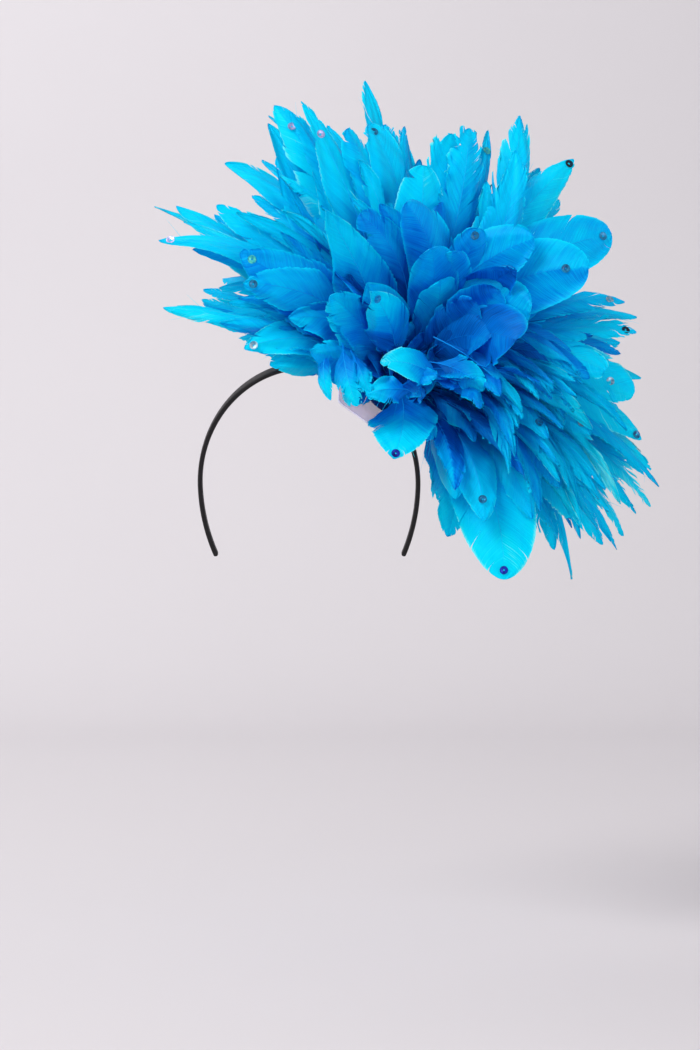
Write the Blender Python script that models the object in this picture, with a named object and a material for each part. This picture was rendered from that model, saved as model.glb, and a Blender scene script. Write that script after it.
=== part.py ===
"""Feather fascinator on a slim satin-covered head band.

Pieces: head_band (a tapered arch), base_plate (a flat clear plate on the band), feather_plume (a dome
backing with every feather blade fused to it) and the loose-looking cup sequins glued near the feather tips.

Metres, +Z up. The wearer faces -Y and +X is towards the wearer's left. The origin is the middle of the
band's inner face at the top of the arch, where the band sits on the crown of the head.
"""

import math
from collections import namedtuple

import bmesh
import bpy
from mathutils import Matrix, Vector

# Head band: half an ellipse over the crown, then two legs that curve in towards the head.
BAND_HALF_SPAN = 0.0755
BAND_RISE = 0.0906
BAND_LEG_RADIUS = 0.160
BAND_LEG_LENGTH = 0.054
BAND_THICKNESS = 0.0034
BAND_WIDTH_TOP = 0.0095
BAND_WIDTH_TIP = 0.0056
BAND_EDGE_ROUND = 0.0011
BAND_LEAN = math.radians(28.0)
BAND_CROWN_STEPS = 14
BAND_LEG_STEPS = 4

# Base plate: lies flat on the band's outer face, at this place along the crown.
PLATE_CROWN_ANGLE = math.radians(33.5)
PLATE_THICKNESS = 0.0010
PLATE_ALONG_BAND = (-0.028, 0.024)
PLATE_FORWARD = (-0.022, 0.068)
PLATE_CORNER = 0.0030
GLUE_GAP = 0.0003

# Dome backing that the quills are set in.
DOME_RADIUS = 0.025
DOME_HEIGHT = 0.022
DOME_ALONG_BAND = 0.005
DOME_FORWARD = 0.024
DOME_SEGMENTS = 20
DOME_RINGS = 10

# Feather blades.
QUILL_START = 0.014
BLADE_THICKNESS = 0.0018
QUILL_WIDTH = 0.0030
BLADE_STATIONS = (0.0, 0.22, 0.46, 0.70, 0.90)
NATURAL_LIFT = 0.10

# A vane's outline is u**rise * (1 - u)**fall, scaled to its width, with u from root to tip.
Outline = namedtuple("Outline", "rise fall")
OUTLINES = {
    "round": Outline(0.85, 0.36),
    "leaf": Outline(0.72, 0.52),
    "point": Outline(0.65, 0.80),
    "strip": Outline(0.45, 0.45),
}

# Sequins: pressed cups with a stitch hole.
SEQUIN_RADIUS = 0.0027
SEQUIN_HOLE = 0.0006
SEQUIN_THICKNESS = 0.0004
SEQUIN_SIDES = 9
SEQUIN_LIFT = 0.0004

# One row for each feather that shows from the front, clockwise from the lower left.
# bearing: degrees in the front view, from +X towards +Z, and reach: metres in that view, from dome centre to tip.
# depth: how far the tip lies behind (+) or before (-) the dome centre. width: the vane's widest place.
# bow: sideways bend of the quill, towards a larger bearing. face: 0 looks along the plume's axis, 1 at the viewer.
# sequin: its place along the quill, or 0 for none.
Feather = namedtuple("Feather", "bearing reach depth width bow face shape sequin")
OUTER_FEATHERS = (
    Feather(170.5, 0.093, -0.015, 0.028, -0.006, 0.6, "leaf", 0.00),
    Feather(171, 0.101, -0.035, 0.023, -0.006, 0.7, "leaf", 0.94),
    Feather(161.5, 0.130, 0.000, 0.021, -0.008, 0.4, "leaf", 0.00),
    Feather(164, 0.159, -0.015, 0.020, 0.006, 0.5, "leaf", 0.00),
    Feather(155.5, 0.142, 0.020, 0.019, 0.004, 0.3, "leaf", 0.00),
    Feather(151, 0.177, -0.025, 0.027, -0.010, 0.5, "leaf", 0.96),
    Feather(144.5, 0.172, -0.010, 0.019, 0.004, 0.4, "point", 0.00),
    Feather(142.5, 0.184, 0.005, 0.024, 0.010, 0.5, "leaf", 0.00),
    Feather(146, 0.158, 0.010, 0.024, 0.004, 0.4, "leaf", 0.90),
    Feather(137, 0.163, -0.005, 0.028, 0.006, 0.5, "leaf", 0.00),
    Feather(129, 0.183, 0.020, 0.022, -0.008, 0.5, "leaf", 0.00),
    Feather(122, 0.172, 0.030, 0.021, -0.004, 0.4, "leaf", 0.00),
    Feather(129, 0.154, 0.012, 0.027, -0.004, 0.5, "leaf", 0.00),
    Feather(116.5, 0.193, 0.015, 0.016, -0.006, 0.4, "point", 0.00),
    Feather(115, 0.193, -0.010, 0.032, 0.006, 0.7, "leaf", 0.90),
    Feather(110, 0.187, -0.020, 0.027, 0.008, 0.6, "leaf", 0.86),
    Feather(106, 0.173, 0.015, 0.021, 0.004, 0.5, "leaf", 0.80),
    Feather(96.5, 0.201, 0.035, 0.016, 0.000, 0.4, "point", 0.00),
    Feather(102, 0.163, -0.015, 0.027, 0.004, 0.6, "round", 0.00),
    Feather(97, 0.166, 0.000, 0.024, -0.002, 0.6, "round", 0.96),
    Feather(93.5, 0.168, 0.020, 0.019, 0.000, 0.5, "round", 0.00),
    Feather(90, 0.166, 0.030, 0.015, 0.000, 0.4, "point", 0.00),
    Feather(89, 0.165, 0.010, 0.021, 0.010, 0.5, "leaf", 0.00),
    Feather(81, 0.159, 0.030, 0.013, 0.000, 0.4, "point", 0.00),
    Feather(84, 0.134, -0.030, 0.032, 0.008, 0.8, "round", 0.00),
    Feather(78, 0.162, 0.000, 0.030, 0.008, 0.6, "round", 0.00),
    Feather(74.5, 0.166, -0.012, 0.028, 0.004, 0.6, "round", 0.00),
    Feather(70.5, 0.175, 0.025, 0.019, 0.000, 0.4, "leaf", 0.90),
    Feather(65.5, 0.187, 0.000, 0.021, -0.008, 0.5, "leaf", 0.00),
    Feather(63.5, 0.188, 0.020, 0.019, -0.010, 0.5, "point", 0.00),
    Feather(63, 0.163, -0.015, 0.028, -0.008, 0.6, "leaf", 0.00),
    Feather(51.5, 0.183, 0.010, 0.030, 0.008, 0.7, "leaf", 0.97),
    Feather(48.5, 0.160, 0.030, 0.029, 0.000, 0.5, "leaf", 0.00),
    Feather(56.5, 0.167, 0.020, 0.027, 0.000, 0.6, "leaf", 0.00),
    Feather(34, 0.166, 0.000, 0.038, 0.008, 0.9, "round", 0.96),
    Feather(29.5, 0.136, -0.040, 0.040, 0.006, 1.0, "round", 0.90),
    Feather(18.5, 0.154, 0.000, 0.017, 0.004, 0.4, "point", 0.93),
    Feather(14.5, 0.161, 0.015, 0.019, 0.004, 0.4, "point", 0.00),
    Feather(10.5, 0.155, -0.010, 0.020, 0.000, 0.4, "point", 0.95),
    Feather(9.5, 0.148, 0.025, 0.027, 0.000, 0.5, "leaf", 0.00),
    Feather(1, 0.130, -0.030, 0.026, 0.006, 0.8, "round", 0.00),
    Feather(-4.5, 0.152, 0.000, 0.030, 0.006, 0.7, "round", 0.88),
    Feather(-8.5, 0.145, 0.015, 0.027, 0.006, 0.6, "leaf", 0.90),
    Feather(-14.5, 0.162, 0.000, 0.029, 0.006, 0.6, "leaf", 0.97),
    Feather(-20, 0.175, 0.010, 0.024, 0.006, 0.5, "point", 0.00),
    Feather(-23, 0.182, -0.005, 0.024, 0.008, 0.5, "point", 0.00),
    Feather(-27, 0.185, 0.015, 0.021, 0.006, 0.4, "point", 0.00),
    Feather(-30, 0.177, 0.000, 0.021, 0.006, 0.4, "point", 0.00),
    Feather(-35, 0.180, 0.020, 0.019, 0.006, 0.4, "point", 0.00),
    Feather(-38.5, 0.180, 0.000, 0.021, 0.004, 0.5, "point", 0.00),
    Feather(-40, 0.169, -0.020, 0.022, 0.000, 0.5, "leaf", 0.00),
    Feather(-49.5, 0.173, 0.010, 0.016, 0.012, 0.4, "point", 0.00),
    Feather(-48, 0.151, 0.010, 0.030, 0.008, 0.6, "leaf", 0.88),
    Feather(-63.5, 0.146, -0.035, 0.044, 0.006, 1.0, "leaf", 0.96),
    Feather(-73.5, 0.108, 0.000, 0.029, 0.008, 0.8, "round", 0.00),
)

# The shorter feathers that come towards the viewer, in the same columns.
FRONT_FEATHERS = (
    Feather(143.5, 0.127, -0.045, 0.039, 0.006, 1.0, "round", 0.93),
    Feather(151, 0.114, -0.052, 0.030, -0.006, 0.9, "round", 0.95),
    Feather(154.5, 0.079, -0.050, 0.024, -0.006, 0.8, "leaf", 0.00),
    Feather(167.5, 0.059, -0.055, 0.027, 0.006, 0.8, "leaf", 0.00),
    Feather(113.5, 0.101, -0.070, 0.031, 0.008, 0.9, "leaf", 0.00),
    Feather(113.5, 0.051, -0.088, 0.029, 0.004, 0.9, "leaf", 0.90),
    Feather(134.5, 0.064, -0.072, 0.027, 0.004, 0.8, "leaf", 0.00),
    Feather(104.5, 0.104, -0.045, 0.020, -0.008, 0.8, "round", 0.00),
    Feather(97.5, 0.108, -0.040, 0.022, -0.008, 0.9, "leaf", 0.00),
    Feather(88.5, 0.107, -0.050, 0.026, -0.010, 0.9, "round", 0.00),
    Feather(76.5, 0.078, -0.068, 0.024, 0.000, 0.8, "round", 0.00),
    Feather(67.5, 0.081, -0.060, 0.024, 0.000, 0.8, "round", 0.00),
    Feather(62.5, 0.103, -0.045, 0.025, 0.006, 0.7, "round", 0.95),
    Feather(41, 0.109, -0.055, 0.032, 0.006, 0.9, "round", 0.00),
    Feather(24.5, 0.087, -0.070, 0.039, 0.008, 1.0, "round", 0.00),
    Feather(14, 0.071, -0.090, 0.042, 0.004, 1.0, "round", 0.00),
    Feather(-1.5, 0.119, -0.040, 0.023, 0.008, 0.7, "leaf", 0.00),
    Feather(-9.5, 0.100, -0.055, 0.020, 0.008, 0.6, "leaf", 0.00),
    Feather(-15.5, 0.062, -0.080, 0.020, 0.008, 0.7, "leaf", 0.00),
    Feather(-27.5, 0.053, -0.088, 0.020, 0.004, 0.8, "leaf", 0.00),
    Feather(-18.5, 0.125, -0.048, 0.023, 0.008, 0.5, "leaf", 0.93),
    Feather(-25, 0.100, -0.062, 0.020, 0.006, 0.5, "leaf", 0.90),
    Feather(-36, 0.123, -0.045, 0.022, 0.006, 0.6, "leaf", 0.00),
    Feather(-37.5, 0.089, -0.060, 0.020, 0.004, 0.6, "leaf", 0.00),
    Feather(-48, 0.124, -0.035, 0.023, 0.004, 0.7, "leaf", 0.00),
    Feather(-61, 0.107, -0.050, 0.030, 0.004, 0.9, "leaf", 0.88),
    Feather(-66, 0.081, -0.055, 0.023, 0.002, 0.8, "leaf", 0.00),
    Feather(-95.5, 0.055, -0.062, 0.038, 0.000, 1.0, "round", 0.95),
    Feather(-68.5, 0.046, -0.068, 0.024, -0.004, 0.9, "leaf", 0.00),
    Feather(95.5, 0.011, -0.100, 0.035, 0.002, 0.7, "round", 0.00),
    Feather(-34, 0.027, -0.095, 0.024, 0.004, 0.8, "round", 0.00),
    Feather(-158, 0.049, -0.058, 0.012, 0.018, 0.8, "leaf", 0.00),
    Feather(-140, 0.034, -0.062, 0.023, 0.012, 0.8, "strip", 0.00),
)

# Rings of plainer feathers about the plume's axis, which fill the back and the heart of the plume.
# polar: degrees from the axis. backs: only those that point away from the viewer are kept.
Ring = namedtuple("Ring", "polar count start length width shape backs")
FILL_RINGS = (
    Ring(24, 3, 30, 0.112, 0.034, "round", False),
    Ring(62, 4, 100, 0.086, 0.030, "round", False),
    Ring(38, 7, 0, 0.138, 0.032, "leaf", True),
    Ring(58, 11, 14, 0.155, 0.032, "leaf", True),
    Ring(78, 15, 0, 0.160, 0.031, "leaf", True),
    Ring(97, 16, 11, 0.156, 0.030, "leaf", True),
)
BACK_LEAST = 0.16


def material(name, colour, roughness, metallic=0.0, alpha=1.0):
    made = bpy.data.materials.new(name)
    made.use_nodes = True
    shader = made.node_tree.nodes["Principled BSDF"]
    shader.inputs["Base Color"].default_value = (*colour, 1.0)
    shader.inputs["Roughness"].default_value = roughness
    shader.inputs["Metallic"].default_value = metallic
    shader.inputs["Alpha"].default_value = alpha
    return made


def add_object(name, build, finish, smooth_angle=None):
    """A scene object from a bmesh, with its faces turned outwards."""
    bmesh.ops.recalc_face_normals(build, faces=build.faces)
    mesh = bpy.data.meshes.new(name)
    build.to_mesh(mesh)
    build.free()
    made = bpy.data.objects.new(name, mesh)
    bpy.context.scene.collection.objects.link(made)
    made.data.materials.append(finish)
    if smooth_angle:
        mesh.shade_smooth()
        mesh.set_sharp_from_angle(angle=math.radians(smooth_angle))
    return made


def skin_rings(build, rings):
    """Joins closed rings of points in turn, with a face over each end."""
    loops = [[build.verts.new(point) for point in ring] for ring in rings]
    for near, far in zip(loops, loops[1:]):
        count = len(near)
        for i in range(count):
            j = (i + 1) % count
            build.faces.new((near[i], near[j], far[j], far[i]))
    build.faces.new(loops[0][::-1])
    build.faces.new(loops[-1])


# The arch lies in a plane through X that leans forward at the top.
ARCH_UP = Vector((0.0, -math.sin(BAND_LEAN), math.cos(BAND_LEAN)))
ARCH_BACK = Vector((0.0, math.cos(BAND_LEAN), math.sin(BAND_LEAN)))


def arch_place(across, up):
    return Vector((across, 0.0, 0.0)) + ARCH_UP * up


def crown_point(angle):
    """Outer face of the crown: its place and its outward normal, in the arch's plane."""
    across = BAND_HALF_SPAN * math.sin(angle)
    up = BAND_RISE * (math.cos(angle) - 1.0) + BAND_THICKNESS
    normal = Vector((math.sin(angle) / BAND_HALF_SPAN, math.cos(angle) / BAND_RISE)).normalized()
    return across, up, normal


def leg_point(turn, side):
    """Outer face of a leg, which curves in from the crown's widest place."""
    across = side * (BAND_HALF_SPAN - BAND_LEG_RADIUS * (1.0 - math.cos(turn)))
    up = BAND_THICKNESS - BAND_RISE - BAND_LEG_RADIUS * math.sin(turn)
    return across, up, Vector((side * math.cos(turn), -math.sin(turn)))


def band_line():
    """Every station of the band from the right tip to the left one, with its share of the way to the tip."""
    leg_turn = BAND_LEG_LENGTH / BAND_LEG_RADIUS
    half = []
    for i in range(BAND_CROWN_STEPS + 1):
        angle = math.pi / 2 * i / BAND_CROWN_STEPS
        half.append((*crown_point(angle), 0.75 * i / BAND_CROWN_STEPS))
    for i in range(1, BAND_LEG_STEPS + 1):
        half.append((*leg_point(leg_turn * i / BAND_LEG_STEPS, 1), 0.75 + 0.25 * i / BAND_LEG_STEPS))
    mirrored = [(-across, up, Vector((-n.x, n.y)), share) for across, up, n, share in half[:0:-1]]
    return mirrored + half


def band_section(across, up, normal, width, thickness):
    """An eight-sided strip section with eased edges, about the middle of the band's thickness."""
    out = Vector((normal.x, 0.0, 0.0)) + ARCH_UP * normal.y
    centre = arch_place(across, up) - out * (BAND_THICKNESS / 2)
    ease = min(BAND_EDGE_ROUND, thickness * 0.35, width * 0.35)
    corners = []
    for side, face in ((1, 1), (-1, 1), (-1, -1), (1, -1)):
        wide = centre + ARCH_BACK * side * width / 2 + out * face * (thickness / 2 - ease)
        deep = centre + ARCH_BACK * side * (width / 2 - ease) + out * face * thickness / 2
        corners += [wide, deep] if side == face else [deep, wide]
    return corners


def make_head_band(finish):
    build = bmesh.new()
    rings = []
    line = band_line()
    for across, up, normal, share in line:
        width = BAND_WIDTH_TOP + (BAND_WIDTH_TIP - BAND_WIDTH_TOP) * share**1.5
        rings.append(band_section(across, up, normal, width, BAND_THICKNESS))
    # Each end is rounded off by two smaller sections just past the last one.
    for end, inner in ((0, 1), (-1, -2)):
        across, up, normal, share = line[end]
        along = Vector((across - line[inner][0], up - line[inner][1])).normalized()
        caps = []
        for past, size in ((0.0012, 0.86), (0.0021, 0.50)):
            place = Vector((across, up)) + along * past
            caps.append(band_section(place.x, place.y, normal, BAND_WIDTH_TIP * size, BAND_THICKNESS * size))
        rings = caps[::-1] + rings if end == 0 else rings + caps
    skin_rings(build, rings)
    return add_object("head_band", build, finish, 40)


def plate_frame():
    """The plate's foot on the band, with its directions along the band, forward and outward."""
    across, up, normal = crown_point(PLATE_CROWN_ANGLE)
    out = Vector((normal.x, 0.0, 0.0)) + ARCH_UP * normal.y
    along = Vector((normal.y, 0.0, 0.0)) - ARCH_UP * normal.x
    return arch_place(across, up), along, -ARCH_BACK, out


FOOT, ALONG, FORWARD, AXIS = plate_frame()
DOME_BASE = GLUE_GAP + PLATE_THICKNESS + GLUE_GAP
CENTRE = FOOT + ALONG * DOME_ALONG_BAND + FORWARD * DOME_FORWARD + AXIS * (DOME_BASE + DOME_HEIGHT)
VIEW = Vector((0.0, -1.0, 0.0))


def make_base_plate(finish):
    build = bmesh.new()
    corners = []
    for i, (a, f) in enumerate(((1, 1), (0, 1), (0, 0), (1, 0))):
        turn = math.pi / 2 * i
        reach_a = PLATE_ALONG_BAND[a] + (-PLATE_CORNER if a else PLATE_CORNER)
        reach_f = PLATE_FORWARD[f] + (-PLATE_CORNER if f else PLATE_CORNER)
        for step in range(4):
            angle = turn + math.pi / 2 * step / 3
            corners.append((reach_a + PLATE_CORNER * math.cos(angle), reach_f + PLATE_CORNER * math.sin(angle)))
    levels = (GLUE_GAP, GLUE_GAP + PLATE_THICKNESS)
    skin_rings(build, [[FOOT + ALONG * a + FORWARD * f + AXIS * h for a, f in corners] for h in levels])
    return add_object("base_plate", build, finish)


def make_dome(finish):
    build = bmesh.new()
    bmesh.ops.create_uvsphere(build, u_segments=DOME_SEGMENTS, v_segments=DOME_RINGS, radius=DOME_RADIUS)
    turn = Vector((0.0, 0.0, 1.0)).rotation_difference(AXIS).to_matrix().to_4x4()
    bmesh.ops.transform(build, matrix=Matrix.Translation(CENTRE) @ turn, verts=build.verts)
    everything = build.verts[:] + build.edges[:] + build.faces[:]
    cut = bmesh.ops.bisect_plane(
        build, geom=everything, plane_co=CENTRE - AXIS * DOME_HEIGHT, plane_no=-AXIS, clear_outer=True
    )
    rim = [item for item in cut["geom_cut"] if isinstance(item, bmesh.types.BMEdge)]
    bmesh.ops.contextual_create(build, geom=rim)
    bmesh.ops.triangulate(build, faces=build.faces)
    return add_object("feather_plume", build, finish)


def feather_tip(feather):
    bearing = math.radians(feather.bearing)
    return CENTRE + Vector(
        (feather.reach * math.cos(bearing), feather.depth, feather.reach * math.sin(bearing))
    )


class Quill:
    """A feather's bent centre line, from inside the dome to the tip, and the way that its flat side looks."""

    def __init__(self, tip, side_bend, look, lift):
        heading = (tip - CENTRE).normalized()
        self.start = CENTRE + heading * QUILL_START
        self.tip = tip
        reach = (tip - self.start).length
        upward = (AXIS - heading * AXIS.dot(heading)).normalized()
        middle = (self.start + tip) / 2 + upward * reach * lift + side_bend
        self.control = middle * 2 - (self.start + tip) / 2
        self.look = look

    def place(self, u):
        return self.start * (1 - u) ** 2 + self.control * 2 * u * (1 - u) + self.tip * u * u

    def heading(self, u):
        return ((self.control - self.start) * (1 - u) + (self.tip - self.control) * u).normalized()

    def axes(self, u):
        """Heading, sideways and outward directions at one place."""
        heading = self.heading(u)
        outward = (self.look - heading * self.look.dot(heading)).normalized()
        return heading, heading.cross(outward), outward


def shown_quill(feather):
    bearing = math.radians(feather.bearing)
    sideways = Vector((-math.sin(bearing), 0.0, math.cos(bearing)))
    look = AXIS * (1 - feather.face) + VIEW * feather.face
    return Quill(feather_tip(feather), sideways * feather.bow, look, NATURAL_LIFT)


def vane_half_width(outline, width, u):
    rise, fall = OUTLINES[outline]
    widest = rise / (rise + fall)
    scale = widest**rise * (1 - widest) ** fall
    return max(QUILL_WIDTH / 2, width / 2 * u**rise * (1 - u) ** fall / scale)


def make_blade(name, quill, outline, width, finish):
    """A closed blade along the quill, ridged on its outward side, with its tip drawn to a point."""
    build = bmesh.new()
    rings = []
    for u in BLADE_STATIONS:
        heading, sideways, outward = quill.axes(u)
        half = vane_half_width(outline, width, u)
        middle = quill.place(u)
        rings.append((middle + sideways * half, middle + outward * BLADE_THICKNESS, middle - sideways * half))
    loops = [[build.verts.new(point) for point in ring] for ring in rings]
    for near, far in zip(loops, loops[1:]):
        for i in range(3):
            j = (i + 1) % 3
            build.faces.new((near[i], near[j], far[j], far[i]))
    point = build.verts.new(quill.place(1.0))
    for i in range(3):
        build.faces.new((loops[-1][i], loops[-1][(i + 1) % 3], point))
    build.faces.new(loops[0][::-1])
    bmesh.ops.triangulate(build, faces=build.faces)
    return add_object(name, build, finish)


def fill_quills():
    """The rings of plainer feathers, as (quill, outline, width)."""
    made = []
    for ring in FILL_RINGS:
        for i in range(ring.count):
            turn = math.radians(ring.start + 360.0 * i / ring.count)
            polar = math.radians(ring.polar + 7.0 * math.sin(2.4 * i))
            flat = ALONG * math.cos(turn) - FORWARD * math.sin(turn)
            heading = AXIS * math.cos(polar) + flat * math.sin(polar)
            if ring.backs and heading.y < BACK_LEAST:
                continue
            length = ring.length * (1.0 + 0.07 * math.sin(1.7 * i + ring.polar))
            made.append((Quill(CENTRE + heading * length, Vector(), AXIS, NATURAL_LIFT), ring.shape, ring.width))
    return made


def all_quills():
    shown = [(shown_quill(f), f.shape, f.width) for f in OUTER_FEATHERS + FRONT_FEATHERS]
    return shown + fill_quills()


def keep_largest_island(mesh):
    """A union leaves small closed pockets between blades. Only the outer body is kept."""
    build = bmesh.new()
    build.from_mesh(mesh)
    unseen = set(build.verts)
    islands = []
    while unseen:
        island = {unseen.pop()}
        front = list(island)
        while front:
            for edge in front.pop().link_edges:
                for vert in edge.verts:
                    if vert in unseen:
                        unseen.discard(vert)
                        island.add(vert)
                        front.append(vert)
        islands.append(island)
    largest = max(islands, key=len)
    spare = [vert for vert in build.verts if vert not in largest]
    bmesh.ops.delete(build, geom=spare, context="VERTS")
    bmesh.ops.triangulate(build, faces=build.faces)
    build.to_mesh(mesh)
    build.free()


def make_feather_plume(finish):
    """The dome and every blade, joined into one body."""
    dome = make_dome(finish)
    blades = bpy.data.collections.new("blades")
    bpy.context.scene.collection.children.link(blades)
    for i, (quill, outline, width) in enumerate(all_quills()):
        blade = make_blade(f"blade_{i:03d}", quill, outline, width, finish)
        bpy.context.scene.collection.objects.unlink(blade)
        blades.objects.link(blade)
    join = dome.modifiers.new("blades", "BOOLEAN")
    join.operation = "UNION"
    join.operand_type = "COLLECTION"
    join.collection = blades
    join.solver = "MANIFOLD"
    depsgraph = bpy.context.evaluated_depsgraph_get()
    joined = bpy.data.meshes.new_from_object(dome.evaluated_get(depsgraph))
    dome.modifiers.clear()
    dome.data = joined
    for blade in list(blades.objects):
        bpy.data.objects.remove(blade)
    bpy.data.collections.remove(blades)
    keep_largest_island(dome.data)
    return dome


def ridge_place(quill, u):
    """The blade's ridge at u, with its heading there: it runs straight between the stations and on to the tip."""
    ridge = [quill.place(s) + quill.axes(s)[2] * BLADE_THICKNESS for s in BLADE_STATIONS] + [quill.tip]
    stations = BLADE_STATIONS + (1.0,)
    i = max(i for i, station in enumerate(stations[:-1]) if station <= u)
    share = (u - stations[i]) / (stations[i + 1] - stations[i])
    return ridge[i].lerp(ridge[i + 1], share), (ridge[i + 1] - ridge[i]).normalized()


def make_sequin(name, quill, u, finish):
    """A flat ring on the outward side of a blade, one glue gap off its ridge."""
    ridge, heading = ridge_place(quill, u)
    outward = quill.axes(u)[2]
    outward = (outward - heading * heading.dot(outward)).normalized()
    sideways = heading.cross(outward)
    centre = ridge + outward * SEQUIN_LIFT
    build = bmesh.new()
    profile = (
        (SEQUIN_HOLE, SEQUIN_THICKNESS),
        (SEQUIN_HOLE, 0.0),
        (SEQUIN_RADIUS, 0.0),
        (SEQUIN_RADIUS, SEQUIN_THICKNESS),
    )
    turned = []
    for i in range(SEQUIN_SIDES):
        angle = 2 * math.pi * i / SEQUIN_SIDES
        spoke = heading * math.cos(angle) + sideways * math.sin(angle)
        turned.append([build.verts.new(centre + spoke * r + outward * h) for r, h in profile])
    for near, far in zip(turned, turned[1:] + turned[:1]):
        for i in range(4):
            j = (i + 1) % 4
            build.faces.new((near[i], near[j], far[j], far[i]))
    return add_object(name, build, finish)


def main():
    for old in list(bpy.data.objects):
        bpy.data.objects.remove(old)
    satin = material("black_satin", (0.012, 0.010, 0.012), 0.45)
    acetate = material("clear_acetate", (0.85, 0.80, 0.88), 0.15, alpha=0.45)
    dyed = material("turquoise_feather", (0.0, 0.42, 0.80), 0.6)
    film = material("iridescent_film", (0.10, 0.16, 0.38), 0.2, metallic=0.8)
    make_head_band(satin)
    make_base_plate(acetate)
    make_feather_plume(dyed)
    number = 0
    for feather in OUTER_FEATHERS + FRONT_FEATHERS:
        if feather.sequin:
            number += 1
            make_sequin(f"sequin_{number:02d}", shown_quill(feather), feather.sequin, film)


main()
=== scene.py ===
import math
from collections import namedtuple

import bpy
import numpy as np
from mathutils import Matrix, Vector


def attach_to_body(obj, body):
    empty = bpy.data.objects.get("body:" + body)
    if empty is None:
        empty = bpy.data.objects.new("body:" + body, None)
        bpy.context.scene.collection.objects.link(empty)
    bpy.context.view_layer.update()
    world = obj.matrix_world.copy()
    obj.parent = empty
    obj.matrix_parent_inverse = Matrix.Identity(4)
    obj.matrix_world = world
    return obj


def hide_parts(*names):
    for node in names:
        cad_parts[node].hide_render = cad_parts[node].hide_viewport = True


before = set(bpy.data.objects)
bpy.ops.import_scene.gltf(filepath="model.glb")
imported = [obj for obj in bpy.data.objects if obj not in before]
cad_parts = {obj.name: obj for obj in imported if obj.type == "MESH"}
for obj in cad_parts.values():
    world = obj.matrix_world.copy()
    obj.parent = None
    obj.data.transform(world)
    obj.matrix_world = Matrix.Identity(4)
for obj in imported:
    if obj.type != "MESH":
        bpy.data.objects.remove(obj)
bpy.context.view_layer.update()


def linearColour(hexText):  # sRGB hex to the linear colour that a shader wants
    parts = [int(hexText[i : i + 2], 16) / 255 for i in (1, 3, 5)]
    return (*[p / 12.92 if p <= 0.04045 else ((p + 0.055) / 1.055) ** 2.4 for p in parts], 1.0)


def setUp(tree, node, values=None, links=None):  # a link starts at a socket, or at a node's first output
    for name, value in (values or {}).items():
        node.inputs[name].default_value = value
    for name, source in (links or {}).items():
        tree.links.new(getattr(source, "outputs", [source])[0], node.inputs[name])


def addNode(tree, kind, settings=None, values=None, links=None, stops=None):
    node = tree.nodes.new("ShaderNode" + kind)
    for name, value in (settings or {}).items():
        setattr(node, name, value)
    setUp(tree, node, values, links)
    if stops:  # (place, hex) pairs of a colour ramp
        ramp = node.color_ramp
        while len(ramp.elements) < len(stops):
            ramp.elements.new(0.5)
        for element, (place, hexText) in zip(ramp.elements, stops):
            element.position = place
            element.color = linearColour(hexText)
    return node


def newFinish(name):  # a material with its shader and output ready
    made = bpy.data.materials.new(name)
    made.use_nodes = True
    tree = made.node_tree
    return made, tree, tree.nodes["Principled BSDF"]


def mottledFinish(name, noise, stops, shaderValues, gloss=None, relief=None):
    # One noise drives the colour and, where asked for, the gloss or the relief
    made, tree, shader = newFinish(name)
    place = addNode(tree, "TexCoord").outputs["Object"]
    mottle = addNode(tree, "TexNoise", values=noise, links={"Vector": place})
    links = {"Base Color": addNode(tree, "ValToRGB", links={"Fac": mottle}, stops=stops)}
    if gloss:
        links["Roughness"] = addNode(tree, "MapRange", values=gloss, links={"Value": mottle})
    if relief:
        links["Normal"] = addNode(tree, "Bump", values=relief, links={"Height": mottle})
    setUp(tree, shader, shaderValues, links)
    return made


def between(pair, share):  # share 0 gives the first of the pair, 1 the second
    return pair[0] + (pair[1] - pair[0]) * share


def unit(v):
    v = np.asarray(v, float)
    return v / np.linalg.norm(v, axis=-1, keepdims=True)


def deselectAll():
    if bpy.context.object and bpy.context.object.mode != "OBJECT":
        bpy.ops.object.mode_set(mode="OBJECT")
    bpy.ops.object.select_all(action="DESELECT")


def selectOnly(piece):
    deselectAll()
    piece.select_set(True)
    bpy.context.view_layer.objects.active = piece


def editMesh():
    bpy.ops.object.mode_set(mode="EDIT")
    bpy.ops.mesh.select_all(action="SELECT")


def endEdit():
    bpy.ops.object.mode_set(mode="OBJECT")


def readPoints(piece):
    points = np.zeros(len(piece.data.vertices) * 3)
    piece.data.vertices.foreach_get("co", points)
    return points.reshape(-1, 3)


def writePoints(piece, points):
    piece.data.vertices.foreach_set("co", np.asarray(points, np.float32).ravel())
    piece.data.update()


def loopVertices(piece):  # the vertex at each corner of each face
    corners = np.zeros(len(piece.data.loops), int)
    piece.data.loops.foreach_get("vertex_index", corners)
    return corners


def closeSeams(piece, within=1e-6):  # merge by distance, as after rolling a sheet into a tube
    selectOnly(piece)
    editMesh()
    bpy.ops.mesh.remove_doubles(threshold=within)
    endEdit()


def faceOutwards():
    editMesh()
    bpy.ops.mesh.normals_make_consistent(inside=False)
    endEdit()


def finishPiece(piece, name, finishes, stands=(), crease=None):  # crease: degrees left sharp
    piece.name = name
    piece.data.name = name
    piece.data.materials.clear()
    for finish in finishes:
        piece.data.materials.append(finish)
    selectOnly(piece)
    bpy.ops.object.transform_apply(location=True, rotation=True, scale=True)
    if crease:
        bpy.ops.object.shade_smooth_by_angle(angle=math.radians(crease))
    else:
        bpy.ops.object.shade_smooth()
    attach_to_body(piece, "root")
    if stands:
        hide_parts(*stands)


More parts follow.
